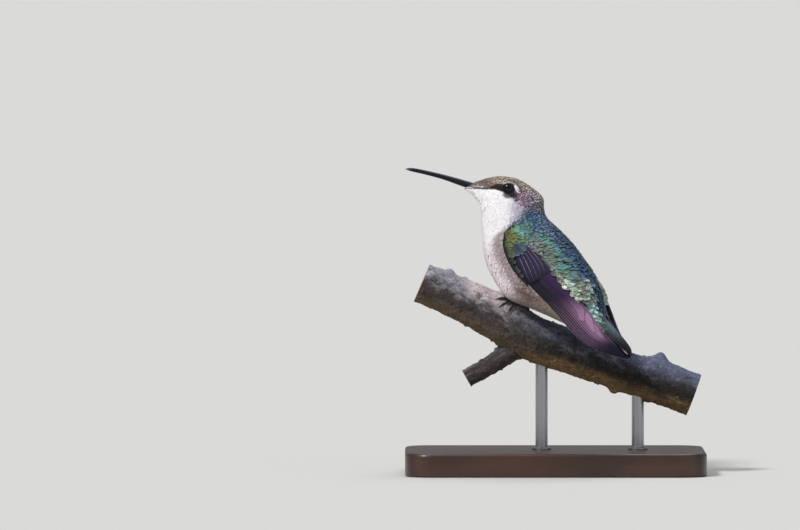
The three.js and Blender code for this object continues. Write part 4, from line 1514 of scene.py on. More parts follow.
class WingColours(PropertyGroup):
    """Colours of the folded wing."""

    wrist: colour_property("Wrist", "Small coverts at the wrist", (84, 92, 58))
    wrist_gold: colour_property("Wrist gold", "Golden coverts at the wrist", (136, 134, 72))
    wrist_green: colour_property("Wrist green", "Green coverts along the upper edge", (92, 128, 78))
    carpal: colour_property("Carpal", "Broad coverts below the wrist", (30, 44, 58))
    carpal_edge: colour_property("Carpal edge", "Edges of the broad coverts", (76, 98, 102))
    lead: colour_property("Leading edge", "Dark front margin", (24, 20, 24))
    secondary: colour_property("Secondaries", "Short inner flight feathers", (30, 22, 50))
    secondary_edge: colour_property("Secondary edge", "Edges of the secondaries", (122, 108, 154))
    outer: colour_property("Outer primaries", "Long feathers along the lower edge", (15, 14, 22))
    outer_edge: colour_property("Outer edge", "Edges of the outer primaries", (58, 52, 74))
    inner: colour_property("Inner primaries", "Long feathers along the upper edge", (50, 30, 68))
    # The rosy colour toward the inner primaries' tips is painted sheen laid into the feathers' colour.
    painted_rosy_sheen: colour_property("Inner glow", "Rosy gloss toward the inner primaries' tips", (168, 128, 164))
    tip: colour_property("Wing tip", "The last part of the longest primaries", (18, 17, 36))


# Each primary from the innermost: place of its tip, how far across its tip lies, its leading edge.
PRIMARIES = np.array([
    [5.25, 0.62, 0.66], [5.95, 0.72, 0.62], [6.65, 0.8, 0.58], [7.15, 0.8, 0.52], [7.6, 0.76, 0.44],
    [8.0, 0.72, 0.36], [8.35, 0.66, 0.275], [8.62, 0.6, 0.19], [8.82, 0.55, 0.1], [9.0, 0.5, 0.0],
])
PRIMARY_ROOT = 1.7
SECONDARIES = 8
SECONDARY_ROOT = 1.0
# Where the secondaries end: how far across their tips lie, and the tips' places.
FAN_END = ([0, 0.35, 0.74, 1.0], [2.9, 2.7, 2.37, 2.15])
# Each broad covert below the wrist: place of its root, how far across it lies, length.
CARPAL_COVERTS = np.array([
    [0.95, 0.2, 3.6], [0.75, 0.31, 4.4], [0.7, 0.43, 4.9],
    [0.62, 0.55, 5.2], [0.5, 0.66, 5.3], [0.5, 0.78, 4.9],
])
# Columns of points across a long vane, close together at its rims.
RIBBON_COLUMNS = np.array([-1, -0.94, -0.87, -0.79, -0.68, -0.5, -0.15, 0.3, 0.65, 0.86, 0.96, 1])


def rounded(t, start):
    """Half width of a vane as it rounds off toward its tip."""
    return np.sqrt(np.clip(1 - ((t - start) / (1 - start)).clip(0, 1) ** 2, 0.0006, 1))


def vane_coordinates(t, start, wide=1.0):
    """How far along and across each point of a long vane lies, and how near its rim."""
    along, across = grid(t, RIBBON_COLUMNS)
    rim = np.maximum(np.abs(across), ease(along, start, 1.0) * 0.99 + 0.01 * np.abs(across))
    return np.stack([along, across, 1 - (1 - rim) / wide], -1)


class HUMMINGBIRD_OT_wings(PieceOperator):
    """Builds both folded wings: the arm under the coverts, primaries, secondaries and coverts"""

    bl_idname = "hummingbird.wings"
    bl_label = "Wings"

    def build(self, settings):
        self.tint = tints(settings.wing)
        flight = flight_material("flight_feathers")
        covert = feather_material("wing_covert_feathers", 12, 0.06, mottle=0.5)
        for name, side in SIDES.items():
            rng = np.random.default_rng(settings.body.seed + 11)
            self.arm(name, side, covert)
            self.primaries(name, side, flight, rng)
            self.secondaries(name, side, flight, rng)
            self.coverts(name, side, covert, rng)
            self.carpal_coverts(name, side, covert, rng)

    def arm(self, name, side, material):
        """The solid arm under the coverts, from the flank out."""
        share, turn = grid(np.linspace(0, 1, 50), full_turn(48))
        across = 0.5 - 0.46 * np.cos(turn)
        place = share * (HAND_STARTS[0] + (HAND_STARTS[1] - HAND_STARTS[0]) * across - 0.2)
        x, z, sheet = wing_sheet(place, across)
        inner, outer = np.maximum(flank(x, z) - 0.3, sheet - 3.0), sheet - 0.42
        y = (outer + inner) / 2 + (outer - inner) / 2 * np.sin(turn)
        points = to_world(np.stack([x, side * y, z], -1))
        dark = opaque(self.tint["lead"], (place.size,))
        vane = np.stack([place, across * 4, place * 0], -1).reshape(-1, 3)
        values = {"plumage": dark, "tips": dark, "touch": np.zeros((place.size, 3)), "vane": vane}
        uv = np.stack([across, place / 9], -1)
        piece = mesh_object(f"wing_arm_{name}", points, closed_quads(*place.shape), values, uv, sharp=180)
        place_piece(piece, material, "wing_coverts", f"wing_{name}")

    def ribbon(self, side, t, place, centre, half, lift, start, colours, touch, tilt=0.0, wide=1.0):
        """A long vane laid on the folded wing: its middle and half width are given for each station."""
        c = RIBBON_COLUMNS
        across = centre[:, None] + half[:, None] * c
        x, z, y = wing_sheet(np.broadcast_to(place[:, None], across.shape), np.clip(across, -0.03, 1.2))
        y = y + lift + tilt * c - 0.09 * np.abs(c) ** 3 + 0.05 * bell(c, -0.3, 0.1)
        top = np.stack([x, side * y, z], -1)
        return long_vane(top, top - (0, side * 0.05, 0), colours, touch, vane_coordinates(t, start, wide))

    def primaries(self, name, side, material, rng):
        """Ten long feathers, the innermost on top, each showing its leading edge."""
        t = np.linspace(0, 1, 40) ** 0.85
        vanes = []
        for k, (tip, tip_across, lead) in enumerate(PRIMARIES, 1):
            place = PRIMARY_ROOT + (tip - PRIMARY_ROOT) * t
            lead = lead * (1 - 0.25 * (1 - ease(place, PRIMARY_ROOT, 4.2)) * (k < 5))
            front = lead + (tip_across - lead) * ease(t, 0.62, 1.06) * 0.85
            rear = np.minimum(front + 0.6, 1.0)
            half = (rear - front) / 2 * rounded(t, 0.8 if k < 4 else 0.86)
            middle = (front + rear) / 2
            middle = middle + (tip_across - middle) * ease(t, 0.8, 1.0) * 0.8
            p, inner = place[:, None], ease(6.2 - k, 0, 2.4)
            upper = ease(middle[:, None] + half[:, None] * RIBBON_COLUMNS, 0.86, 0.97) * ease(p, 5.6, 6.4)
            colour = layered(
                self.tint,
                "outer",
                ("inner", np.maximum(inner, 0.75 * ease(p, 4.4, 6.0))),
                # Painted rosy sheen toward the tips.
                ("painted_rosy_sheen", (0.22 + 0.7 * inner) * between(p, 3.6, 5.0, 6.0, 7.2)),
                ("tip", np.maximum(0.95 * ease(p, 6.1, 7.4), 0.8 * upper)),
            )
            rim = layered(
                self.tint, "outer_edge", ("painted_rosy_sheen", 0.6 * ease(p, 3.6, 5)), ("tip", ease(p, 6.4, 7.6))
            )
            touch = (0.75, 0.25 + 0.15 * inner, rng.uniform())
            lift = 0.078 * (len(PRIMARIES) - k) - 0.95
            vanes.append(self.ribbon(side, t, place, middle, half, lift, 0.965, (colour, rim), touch))
        vanes_object(f"primaries_{name}", vanes, material, "flight_feathers", f"wing_tip_{name}")

    def secondaries(self, name, side, material, rng):
        """The dark front margin, and a fan of short feathers over the primaries' roots."""
        t = np.linspace(0, 1, 40)
        margin = self.tint["lead"] * 0.8
        half = 0.065 * rounded(t, 0.9) * (0.3 + 0.7 * ease(t, 0, 0.1))
        colours, touch = (margin, margin * 1.6), (0.5, 0.2, 0.5)
        vanes = [self.ribbon(side, t, 0.05 + 2.95 * t, 0.02 - 0.02 * t, half, 0.02, 0.95, colours, touch)]
        t = np.linspace(0, 1, 26)
        for j in range(SECONDARIES):
            share = j / (SECONDARIES - 1)
            root_across = 0.26 + 0.86 * share
            tip_across = (root_across - 0.27) * 1.2
            tip = np.interp(tip_across, *FAN_END)
            place = SECONDARY_ROOT + (tip - SECONDARY_ROOT) * t
            bow = 0.09 * np.sin(math.pi * t) * (0.2 + share)
            centre = root_across + (tip_across - root_across) * t**1.5 + bow + 0.04
            half = (0.1 + 0.03 * t) * rounded(t, 0.86)
            base = self.tint["secondary"] * rng.uniform(0.8, 1.25)
            # The tips darken toward the margin's colour: painted shadow at the fan's lower end.
            colour = layered(self.tint, base, ("lead", 0.85 * ease(t[:, None], 0.66, 0.96)))
            rim = layered(self.tint, "secondary_edge", ("secondary", 0.9 * ease(t[:, None], 0.7, 0.98)))
            lift, touch = 0.03 * j - 0.3, (0.95, 0.35, rng.uniform())
            vanes.append(
                self.ribbon(side, t, place, centre, half, lift, 0.93, (colour, rim), touch, 0.09, 2.3)
            )
        vanes_object(f"secondaries_{name}", vanes, material, "flight_feathers")

    def coverts(self, name, side, material, rng):
        """Small coverts at the wrist and down the front margin."""
        loft = wing_loft(side)

        def exposure(a, b):
            return np.interp(a, [0, 0.8, 1.6, 3], [0.5, 0.62, 0.8, 1.0]) + 0 * b

        def breadth(a, b):
            return exposure(a, b) * 1.5

        place, across = staggered_roots(loft, exposure, breadth, 0.02, rng)
        wrist = (across > 0.04) & (across < 0.98) & (place < 0.82 - 0.2 * across)
        margin = (across > 0.05) & (across < 0.36 - 0.13 * place) & (place >= 0.6) & (place < 2.2)
        roots = place[wrist | margin], across[wrist | margin]
        shown = exposure(*roots)
        sizes = (shown * 2.6 * rng.uniform(0.9, 1.1, len(shown)), shown, np.full(len(shown), 0.4))
        style = dict(STYLES["crown"], columns=13, tip=0.1, ridge=0.8)
        feathers = contour_feathers(loft, roots, sizes, style, rng)
        a, b = (
            middle_of(values, SEEN) + 0.3 * (values - middle_of(values, SEEN))
            for values in (feathers["along"], feathers["across"])
        )
        base = layered(
            self.tint,
            "wrist",
            ("wrist_gold", 0.8 * bell(a, 0.5, 0.3) * bell(b, 0.5, 0.3)),
            ("wrist_green", 0.8 * ease(b, 0.6, 0.85)),
            ("carpal", 0.7 * ease(a, 1.1, 1.6) * ease(b, 0.05, 0.2)),
            ("lead", np.maximum(1 - ease(b, 0.0, 0.12), 0.75 * ease(a, 0.9, 1.7))),
        )
        edge = mixed(base, self.tint["carpal_edge"], np.array(0.45))
        self.covert_object(f"coverts_{name}", feathers, roots, base, edge, 0.55, material, rng)

    def carpal_coverts(self, name, side, material, rng):
        """Broad rounded coverts below the wrist."""
        place, across, length = CARPAL_COVERTS.T
        sizes = (length, np.full(len(length), 1.3), np.full(len(length), 0.2))
        style = dict(STYLES["mantle"], columns=19, notch=0.05, tip=0.2, ridge=1.6, stray=0.04, round=0.6)
        feathers = contour_feathers(wing_loft(side), (place, across), sizes, style, rng)
        base = layered(self.tint, "carpal", ("wrist", 0.6 * (1 - ease(feathers["across"], 0.2, 0.42))))
        edge, name = self.tint["carpal_edge"], f"carpal_coverts_{name}"
        self.covert_object(name, feathers, (place, across), base, edge, 0.8, material, rng)

    def covert_object(self, name, feathers, roots, base, edge, edged, material, rng):
        """One piece of coverts, with their colours at the base and the edge."""
        chance = rng.uniform(0, 1, (len(roots[0]), 1, 1))
        values = vane_values(feathers, base, edge, edged, 0.4, chance)
        uv = np.stack([roots[1], roots[0] / 9], -1)
        feather_object(name, feathers, values, uv, material, "wing_coverts")


def long_vane(top, under, colours, touch, vane):
    """One long vane's points, faces and values. Its colours are those of its middle and its rim."""
    shape = top.shape[:2]
    values = {
        "plumage": opaque(colours[0], shape),
        "tips": opaque(colours[1], shape),
        "touch": np.broadcast_to(np.array(touch), shape + (3,)),
        "vane": vane,
    }
    points = np.concatenate([top.reshape(-1, 3), under[1:-1, 1:-1].reshape(-1, 3)])
    return to_world(points), vane_quads(*shape), {k: on_both(v[None])[0] for k, v in values.items()}


def vanes_object(name, vanes, material, slot, *nodes):
    """One mesh of several long vanes, each with a strip of the OFBake map."""
    points, quads, values = joined(vanes)
    strip = np.repeat(np.arange(len(vanes)), [len(vane[0]) for vane in vanes])
    along, across = values["vane"][:, 0], values["vane"][:, 1]
    uv = np.stack([(strip + 0.5 + 0.46 * across) / len(vanes), 0.02 + 0.96 * along], -1)
    place_piece(mesh_object(name, points, quads, values, uv), material, slot, *nodes)


def flight_material(name):
    """Stiff vanes with close barbs, a pale rim and a painted shadow line inside it."""
    g = Graph(name)
    along, across, edge = g.parts("vane")
    edged, gloss, chance = g.parts("touch")
    base = g.attribute("plumage", "Color")
    grain = g.noise(1400, 4, 0.6)
    value = g.line(grain, 0.5, g.line(chance, 0.25, 0.65))
    colour = g.node("HueSaturation", Value=value, Color=base).outputs[0]
    # A dark line inside the rim: painted shadow where the feathers' edges overlap.
    inside = g.times(g.step(edge, 0.62, 0.8), g.step(edge, 0.86, 0.92, 1, 0))
    colour = g.mix(g.times(inside, 0.65), colour, (0.012, 0.009, 0.016))
    worn = g.times(edged, g.step(grain, 0.36, 0.6, 0.35, 1))
    colour = g.mix(g.times(g.step(edge, 0.88, 0.95), worn), colour, g.attribute("tips", "Color"))
    lines = barbs(g, along, across, 90, 5)
    colour = g.mix(g.times(lines, 0.2), colour, (0.01, 0.008, 0.012))
    normal = g.bump(lines, 0.00002, 0.5)
    return g.set(
        Base_Color=colour, Metallic=g.times(gloss, 0.7), Roughness=g.line(grain, 0.2, 0.42),
        Normal=normal, Specular_IOR_Level=0.2,
    )


# --- tail


class TailColours(PropertyGroup):
    """Colours of the tail feathers."""

    middle: colour_property("Middle pair", "The uppermost two feathers", (98, 116, 126))
    outer: colour_property("Outer pairs", "The feathers under them", (18, 34, 38))
    band: colour_property("Band", "Dark end of the feathers", (8, 14, 28))
    corner: colour_property("Corner", "White tips of the outermost feathers", (232, 230, 232))
    edge: colour_property("Edge", "Edges of the feathers", (106, 122, 120))


# The closed tail's upper side: x and z in the middle, half width and depth of its arch.
TAIL = np.array([
    [26.4, 47.8, 6.6, 10.5], [27.3, 44.1, 5.8, 8.0], [28.5, 41.4, 5.0, 5.6], [30.2, 39.4, 4.1, 3.5],
    [32.0, 37.5, 3.4, 1.9], [33.9, 35.4, 3.3, 1.0], [35.6, 33.2, 3.1, 0.6], [36.5, 31.2, 2.3, 0.4],
])


def tail_point(t, turn, sink):
    """A point of the tail: t from root to tip, turn round its arch from the middle, sunk below its top."""
    place = t * (len(TAIL) - 1)
    x, z, half, depth = np.moveaxis(read_rows(TAIL, place), -1, 0)
    ahead_x, ahead_z = heading(TAIL, place, 0.1)
    drop = depth * (1 - np.cos(turn)) + sink * np.cos(turn)
    return np.stack([x + ahead_z * drop, (half - sink) * np.sin(turn), z - ahead_x * drop], -1)


class HUMMINGBIRD_OT_tail(PieceOperator):
    """Builds the ten closed tail feathers, the middle pair on top"""

    bl_idname = "hummingbird.tail"
    bl_label = "Tail"

    def build(self, settings):
        tint = tints(settings.tail)
        rng = np.random.default_rng(settings.body.seed + 23)
        t = np.linspace(0, 1, 36)
        along, c = grid(t, RIBBON_COLUMNS)
        band = 0.95 * ease(along, 0.5, 0.8)
        rim = layered(tint, "edge", ("band", ease(along, 0.6, 0.9)))
        vanes = []
        for pair in range(5):
            reach = along * (1.0 - 0.018 * pair)
            base = layered(tint, "middle", ("outer", np.array(0.42 * pair)))
            corner = ease(along, 0.95 - 0.02 * pair, 0.96) * (pair > 1)
            colour = layered(tint, base, ("band", band), ("corner", corner))
            for side in (-1, 1):
                middle = side * (0.13 + 0.24 * pair) * (1 - 0.2 * ease(t, 0.6, 1))
                half = (0.26 + 0.12 * ease(t, 0.3, 0.8)) * rounded(t, 0.84)
                turn = middle[:, None] + half[:, None] * c
                sink = 0.06 + 0.11 * pair + 0.05 * (side > 0) + 0.06 * np.abs(c) ** 3
                top, under = (tail_point(reach, turn, sink + thick) for thick in (0, 0.06))
                touch = (0.7, 0.45, rng.uniform())
                vanes.append(long_vane(top, under, (colour, rim), touch, vane_coordinates(t, 0.97)))
        vanes_object("tail_feathers", vanes, flight_material("tail_feathers"), "tail_feathers", "tail")


# --- feet


class FootSettings(PropertyGroup):
    """Sizes and colours of the feet."""

    skin: colour_property("Skin", "Scaly skin of the toes and shanks", (44, 36, 34))
    claw: colour_property("Claw", "Claws", (16, 14, 15))
    toe: millimetres("Toe thickness", "Radius of a toe at its root", 0.4, 0.2, 0.7)


def perch_point(x, degrees, lift):
    """A point over the perch's bark, in the stand's millimetres."""
    return branch_point(PERCH, place_at_x(PERCH, np.asarray(x, float)), np.radians(degrees), lift, True)


def foot_centre(name):
    """The ankle's place over the perch."""
    x, degrees = FEET[name]
    return perch_point(x, degrees, 0.9)


class HUMMINGBIRD_OT_feet(PieceOperator):
    """Builds the scaly toes round the branch, and their claws as pieces of their own"""

    bl_idname = "hummingbird.feet"
    bl_label = "Feet"

    def build(self, settings):
        for name, side in SIDES.items():
            toes, claws = [], []
            for reach in TOE_REACHES:
                toes.append(self.toe(name, side, reach, settings.feet))
                claws.append(self.claw(name, side, reach, settings.feet))
            share = np.linspace(0, 1, 8)
            path = foot_centre(name) + np.array([0, 0, 1.0]) * (share[:, None] * 1.2 - 0.35)
            toes.append(self.limb(path, 0.62 - 0.2 * share, 18))
            points, quads, values = joined(toes)
            piece = mesh_object(f"toes_{name}", points, quads, values, sharp=120)
            place_piece(piece, toe_material(settings.feet), "foot_skin", f"foot_{name}")
            points, quads, values = joined(claws)
            piece = mesh_object(f"claws_{name}", points, quads, values, sharp=120)
            place_piece(piece, claw_material(settings.feet), "foot_skin")

    def limb(self, path, radii, around):
        """The points, faces and values of a tube along a path."""
        points, quads, share = tube(path, radii, around)
        return points * MM, quads, {"scute": share}

    def over_bark(self, name, side, reach, share, lift):
        """A toe's line round the perch, at shares of its reach along it and round it."""
        foot_x, foot_angle = FEET[name]
        return perch_point(foot_x + reach[0] * share, foot_angle - side * reach[1] * share, lift)

    def toe(self, name, side, reach, settings):
        """A toe with three knuckles and fine scutes."""
        share = np.linspace(0, TOE_END, 46)
        along = share / TOE_END
        radius = settings.toe / MM * (1 - TOE_TAPER * along)
        lift = 0.1 + radius + 0.34 * np.sin(math.pi * along)
        knuckles = 1 + 0.1 * np.cos(along * 2 * math.pi * 3)
        scutes = 1 + 0.035 * np.abs(np.sin(share * 60))
        return self.limb(self.over_bark(name, side, reach, share, lift), radius * knuckles * scutes, 16)

    def claw(self, name, side, reach, settings):
        """A curved claw that starts inside the end of its toe."""
        along = np.linspace(0, 1, 18)
        share = TOE_END - 0.04 + 0.3 * along
        end = settings.toe / MM * (1 - TOE_TAPER)
        lift = 0.12 + end + 0.12 * np.sin(math.pi * along) - 0.3 * along**2
        radii = 0.27 * (1 - along) ** 0.75 + 0.03
        return self.limb(self.over_bark(name, side, reach, share, lift), radii, 14)


def toe_material(settings):
    """Dark skin in small scales."""
    g = Graph("toe_skin")
    grain = g.noise(2400, 3, 0.6)
    cells = g.node("TexVoronoi", Scale=3400.0, Vector=g.object_place()).outputs["Distance"]
    colour = g.mix(grain, settings.skin, scaled(settings.skin, 0.45))
    normal = g.bump(cells, 0.00006, 0.7)
    return g.set(Base_Color=colour, Roughness=g.line(grain, 0.2, 0.4), Normal=normal)


def claw_material(settings):
    """Glossy dark horn."""
    g = Graph("claw_horn")
    grain = g.noise(3000, 3, 0.5)
    colour = g.mix(grain, settings.claw, scaled(settings.claw, 2.5))
    normal = g.bump(grain, 0.00002, 0.4)
    return g.set(Base_Color=colour, Roughness=g.line(grain, 0.15, 0.22), Normal=normal)


# --- perch


class PerchSettings(PropertyGroup):
    """Bark and wood of the perch."""

    # The upper side's pale colour is weathered bark with painted light from above on it.
    bark: colour_property("Bark", "Weathered upper side", (142, 142, 154))
    # A painted bluish highlight on the upper side of the right half.
    far: colour_property("Upper side behind the bird", "Bluish upper side of the right half", (92, 98, 124))
    side: colour_property("Side", "Brown sides of the left half", (60, 55, 54))
    # Painted shadow of the bird over the right half's sides.
    shade: colour_property("Shaded bark", "Dark sides of the right half", (31, 29, 26))
    under: colour_property("Underside", "Warmer bark below", (138, 112, 76))
    fleck: colour_property("Flecks", "Pale patches and lenticels", (214, 198, 198))
    wood: colour_property("Cut wood", "The sawn ends", (190, 162, 122))
    relief: millimetres("Relief", "How far the bark's ridges stand out", 0.36, 0, 0.6)


def bark_relief(points, settings):
    """Lengthwise ridges, cracks, pits and small warts, in millimetres, for each point."""
    relief = settings.relief / MM
    heights = np.empty(len(points))
    for i, (x, y, z) in enumerate(points):
        broad = noise.fractal(Vector((x * 0.12, y * 0.3, z * 0.3)), 0.9, 2.1, 3)
        fine = noise.fractal(Vector((x * 0.7, y * 1.3, z * 1.3)), 0.6, 2.1, 4)
        wart = max(noise.noise(Vector((x * 0.8 + 9, y * 0.8, z * 0.8))) - 0.34, 0)
        pit = max(noise.noise(Vector((x * 0.45, y * 0.7 + 5, z * 0.7))) - 0.4, 0)
        heights[i] = relief * (0.7 * broad + 0.45 * fine + 2.6 * wart - 2.6 * pit)
    return heights


# Marks the rings that are bark. On the sawn ends the mark is the share of the radius.
BARK = 2.0


class HUMMINGBIRD_OT_perch(PieceOperator):
    """Builds the cut length of branch with the stub of its side twig"""

    bl_idname = "hummingbird.perch"
    bl_label = "Perch"

    def build(self, settings):
        parts = [
            self.limb(settings.perch, PERCH, 330, 132, True),
            self.limb(settings.perch, TWIG, 110, 72, False),
        ]
        points, quads, values = joined(parts)
        piece = mesh_object("perch_bark", points, quads, values, sharp=50)
        place_piece(piece, bark_material(settings.perch), "bark", "perch")

    def limb(self, settings, rows, rings, around, knobby):
        """The points, faces and values of one branch, with its sawn ends."""
        angle = full_turn(around)
        p, q = grid(np.linspace(0, len(rows) - 1, rings), angle)
        smooth = branch_point(rows, p, q, 0, knobby)
        relief = bark_relief(smooth.reshape(-1, 3), settings).reshape(p.shape)
        flare = 0 if knobby else 1.1 * np.exp(-((p / 0.5) ** 2))
        points = branch_point(rows, p, q, relief + 0.12 + flare, knobby)
        steps = np.concatenate([[1.0], np.linspace(0.97, 0.02, 26)])
        first, last = (
            ring.mean(0) + (ring - ring.mean(0)) * steps[:, None, None] for ring in (points[0], points[-1])
        )
        cut = np.concatenate([first[:0:-1], points, last[1:]])
        sawn = np.repeat(np.concatenate([steps[:0:-1], np.full(rings, BARK), steps[1:]]), around)
        up, aside = np.tile(np.cos(angle), len(cut)), np.tile(np.sin(angle), len(cut))
        # How far the bark faces up, damped on the twig: it steers the painted light on the upper side and the
        # underside's colour.
        facing_up = up if knobby else 0.4 * up - 0.15
        values = {
            "bark": np.stack([np.where(sawn < BARK, sawn, 0), sawn < BARK, facing_up], -1),
            "grain": np.stack([cut[..., 0].ravel(), up * 5.5, aside * 5.5], -1),
        }
        return cut.reshape(-1, 3) * MM, closed_quads(len(cut), around), values


def bark_material(settings):
    """Weathered bark, paler above with painted light from above and paler toward the left end because the
    right half carries a painted shadow of the bird, with flecks, cracks and sawn ends.
    """
    g = Graph("bark")
    ring, sawn, up = g.parts("bark")
    grain = g.attribute("grain")
    layers = {
        "broad": (0.28, 0.45, 0.45),
        "streak": (0.4, 2.2, 2.2),
        "fine": (1.6, 2.4, 2.4),
        "dust": (5.0, 5.0, 5.0),
    }
    layer = {
        name: g.noise(1.0, 5, 0.62, g.node("Mapping", Scale=scale, Vector=grain).outputs[0])
        for name, scale in layers.items()
    }
    # The upper side is paler: painted light from above.
    top = g.step(g.line(layer["broad"], 1.5, up), 0.7, 1.75)
    below = g.step(g.line(layer["broad"], 0.8, g.times(up, -1.0)), 0.6, 1.3)
    x = g.split(grain)[0]
    # The right half of the branch: painted shadow of the bird, whose sides take the shaded colour.
    right = g.step(g.line(layer["broad"], 14.0, x), -7, 9)
    shade = g.mix(right, settings.side, settings.shade)
    # The painted lit upper side over the sides; on the right half the upper side takes the painted bluish
    # highlight.
    colour = g.mix(top, shade, g.mix(right, settings.bark, settings.far))
    colour = g.mix(g.times(below, g.line(right, 0.5, 0.4)), colour, settings.under)
    patch = g.times(g.step(g.line(layer["fine"], 6.0, x), -22, -18), g.step(x, -13, -10, 1, 0))
    patch = g.times(patch, g.step(g.line(layer["streak"], 1.2, up), 0.85, 1.3))
    colour = g.mix(g.times(patch, g.step(layer["fine"], 0.35, 0.6, 0.5, 0.95)), colour, settings.fleck)
    # Pale patches of bark, partly painted sunlit spots: only on the upper side, and fainter in the painted
    # shadow of the right half.
    pale = g.times(g.step(layer["broad"], 0.52, 0.66), g.step(up, -0.4, 0.6))
    colour = g.mix(g.times(pale, g.line(right, -0.2, 0.3)), colour, settings.fleck)
    dark = scaled(settings.shade, 0.3)
    colour = g.mix(g.step(layer["fine"], 0.5, 0.66, 0, 0.7), colour, dark)
    colour = g.mix(g.step(layer["streak"], 0.56, 0.7, 0, 0.5), colour, dark)
    colour = g.mix(g.step(layer["dust"], 0.54, 0.72, 0, 0.22), colour, settings.fleck)
    cells = g.node("TexVoronoi", Scale=0.5, Vector=grain)
    uneven = g.line(layer["fine"], 0.12, cells.outputs["Distance"])
    chosen = g.step(g.split(cells.outputs["Color"])[0], 0.55, 0.6)
    fleck = g.times(g.step(uneven, 0.11, 0.17, 1, 0), chosen)
    colour = g.mix(g.times(fleck, 0.3), colour, settings.fleck)
    rings = g.math("SINE", g.times(g.line(layer["fine"], 0.05, ring), 56.0))
    wood = g.mix(g.line(rings, 0.35, 0.4), settings.wood, scaled(settings.wood, 0.55))
    colour = g.mix(g.times(sawn, g.step(ring, 0.9, 0.96, 1, 0)), colour, wood)
    height = g.math("ADD", g.times(layer["fine"], 0.8), g.line(fleck, 0.25, layer["dust"]))
    normal = g.bump(height, 0.0003, 0.8)
    rough = g.line(layer["fine"], 0.25, 0.68)
    return g.set(Base_Color=colour, Roughness=rough, Normal=normal, Specular_IOR_Level=0.25)


# --- stand


class StandSettings(PropertyGroup):
    """Wood and metal of the display stand."""

    wood: colour_property("Wood", "The base's heartwood", (72, 42, 28))
    dark_grain: colour_property("Dark grain", "The base's darker grain", (34, 19, 13))
    steel: colour_property("Steel", "The rods", (176, 178, 182))


class HUMMINGBIRD_OT_stand(PieceOperator):
    """Builds the flat wooden base and the two rods up to the perch"""

    bl_idname = "hummingbird.stand"
    bl_label = "Stand"

    def build(self, settings):
        self.base(settings.stand)
        self.rods(settings.stand)

    def base(self, settings):
        """A board with round corners and a small round edge."""
        half_x, half_y = BASE["length"] / 2, BASE["width"] / 2
        corner, bevel, height = BASE["corner"], BASE["bevel"], BASE["height"]
        turn = np.linspace(0, math.pi / 2, 17)
        outline, normal = [], []
        for k, corner_side in enumerate(((1, 1), (-1, 1), (-1, -1), (1, -1))):
            angle = turn + k * math.pi / 2
            direction = np.stack([np.cos(angle), np.sin(angle)], -1)
            outline.append(np.array(corner_side) * (half_x - corner, half_y - corner) + corner * direction)
            normal.append(direction)
        outline, normal = np.vstack(outline), np.vstack(normal)
        edge = np.linspace(0, math.pi / 2, 9)
        inset, rise = bevel * (1 - np.sin(edge)), bevel * (1 - np.cos(edge))
        levels = [*zip(inset / 2, rise / 2), *zip(rise, height - inset)]
        levels += [(bevel + further, height) for further in (0.3, 1.0, 3.0, 5.5)]
        rings = np.array([
            np.column_stack([outline - normal * inset, np.full(len(outline), float(z))])
            for inset, z in levels
        ])
        piece = mesh_object("stand_base_wood", rings * MM, closed_quads(*rings.shape[:2]), sharp=40)
        place_piece(piece, wood_material(settings), "base_wood", "stand_base")

    def rods(self, settings):
        """The rods, each with a small collar where it goes into the base."""
        material, top = steel_material(settings), BASE["height"]
        for name, x in RODS.items():
            low, high = top - ROD_SOCKET, perch_point(x, 180, 0)[2] + ROD_SOCKET
            levels = [(0.02 - ROD_RADIUS, low), (0, low)]
            levels += [(wider, top + z) for wider, z in COLLAR]
            levels += [(0, z) for z in np.linspace(top + 0.8, high, 12)] + [(0.02 - ROD_RADIUS, high)]
            rings = np.array([circle(x, ROD_RADIUS + wider, z, 72) for wider, z in levels])
            quads = closed_quads(*rings.shape[:2])
            piece = mesh_object(f"stand_rod_{name}_steel", rings * MM, quads, sharp=35)
            place_piece(piece, material, "rod_steel", f"stand_rod_{name}")


def wood_material(settings):
    """Varnished dark hardwood with a long grain and fine pores."""
    g = Graph("base_wood")
    grain = g.noise(60, 5, 0.6, g.stretched((0.6, 7.0, 7.0)))
    wave = g.node(
        "TexWave", {"bands_direction": "Y"}, Scale=70.0, Distortion=6.0, Detail=4.0, Detail_Scale=1.2,
        Vector=g.stretched((0.25, 1.0, 1.0)),
    ).outputs["Fac"]
    pores = g.noise(1500, 3, 0.6, g.stretched((0.12, 1.0, 1.0)))
    colour = g.mix(g.line(wave, 0.6, g.times(grain, 0.5)), settings.wood, settings.dark_grain)
    colour = g.mix(g.step(pores, 0.58, 0.72, 0, 0.6), colour, scaled(settings.dark_grain, 0.4))
    rough = g.line(pores, 0.25, 0.26)
    normal = g.bump(g.math("ADD", pores, g.times(wave, 0.3)), 0.00005, 0.5)
    return g.set(Base_Color=colour, Roughness=rough, Normal=normal, Coat_Weight=0.25, Coat_Roughness=0.18)


def steel_material(settings):
    """Fine brushed steel."""
    g = Graph("rod_steel")
    brushed = g.noise(900, 3, 0.6, g.stretched((1.0, 1.0, 14.0)))
    colour = g.mix(brushed, settings.steel, scaled(settings.steel, 0.75))
    rough = g.line(brushed, 0.2, 0.22)
    return g.set(Base_Color=colour, Metallic=1.0, Roughness=rough, Normal=g.bump(brushed, 0.00002, 0.3))


# --- stage


# What the camera looks at, how far it stands from that, in metres, and how far it looks down.
AIM = (-0.0403, 0, 0.054)
CAMERA_DISTANCE = 2.5
CAMERA_TILT = math.radians(2)


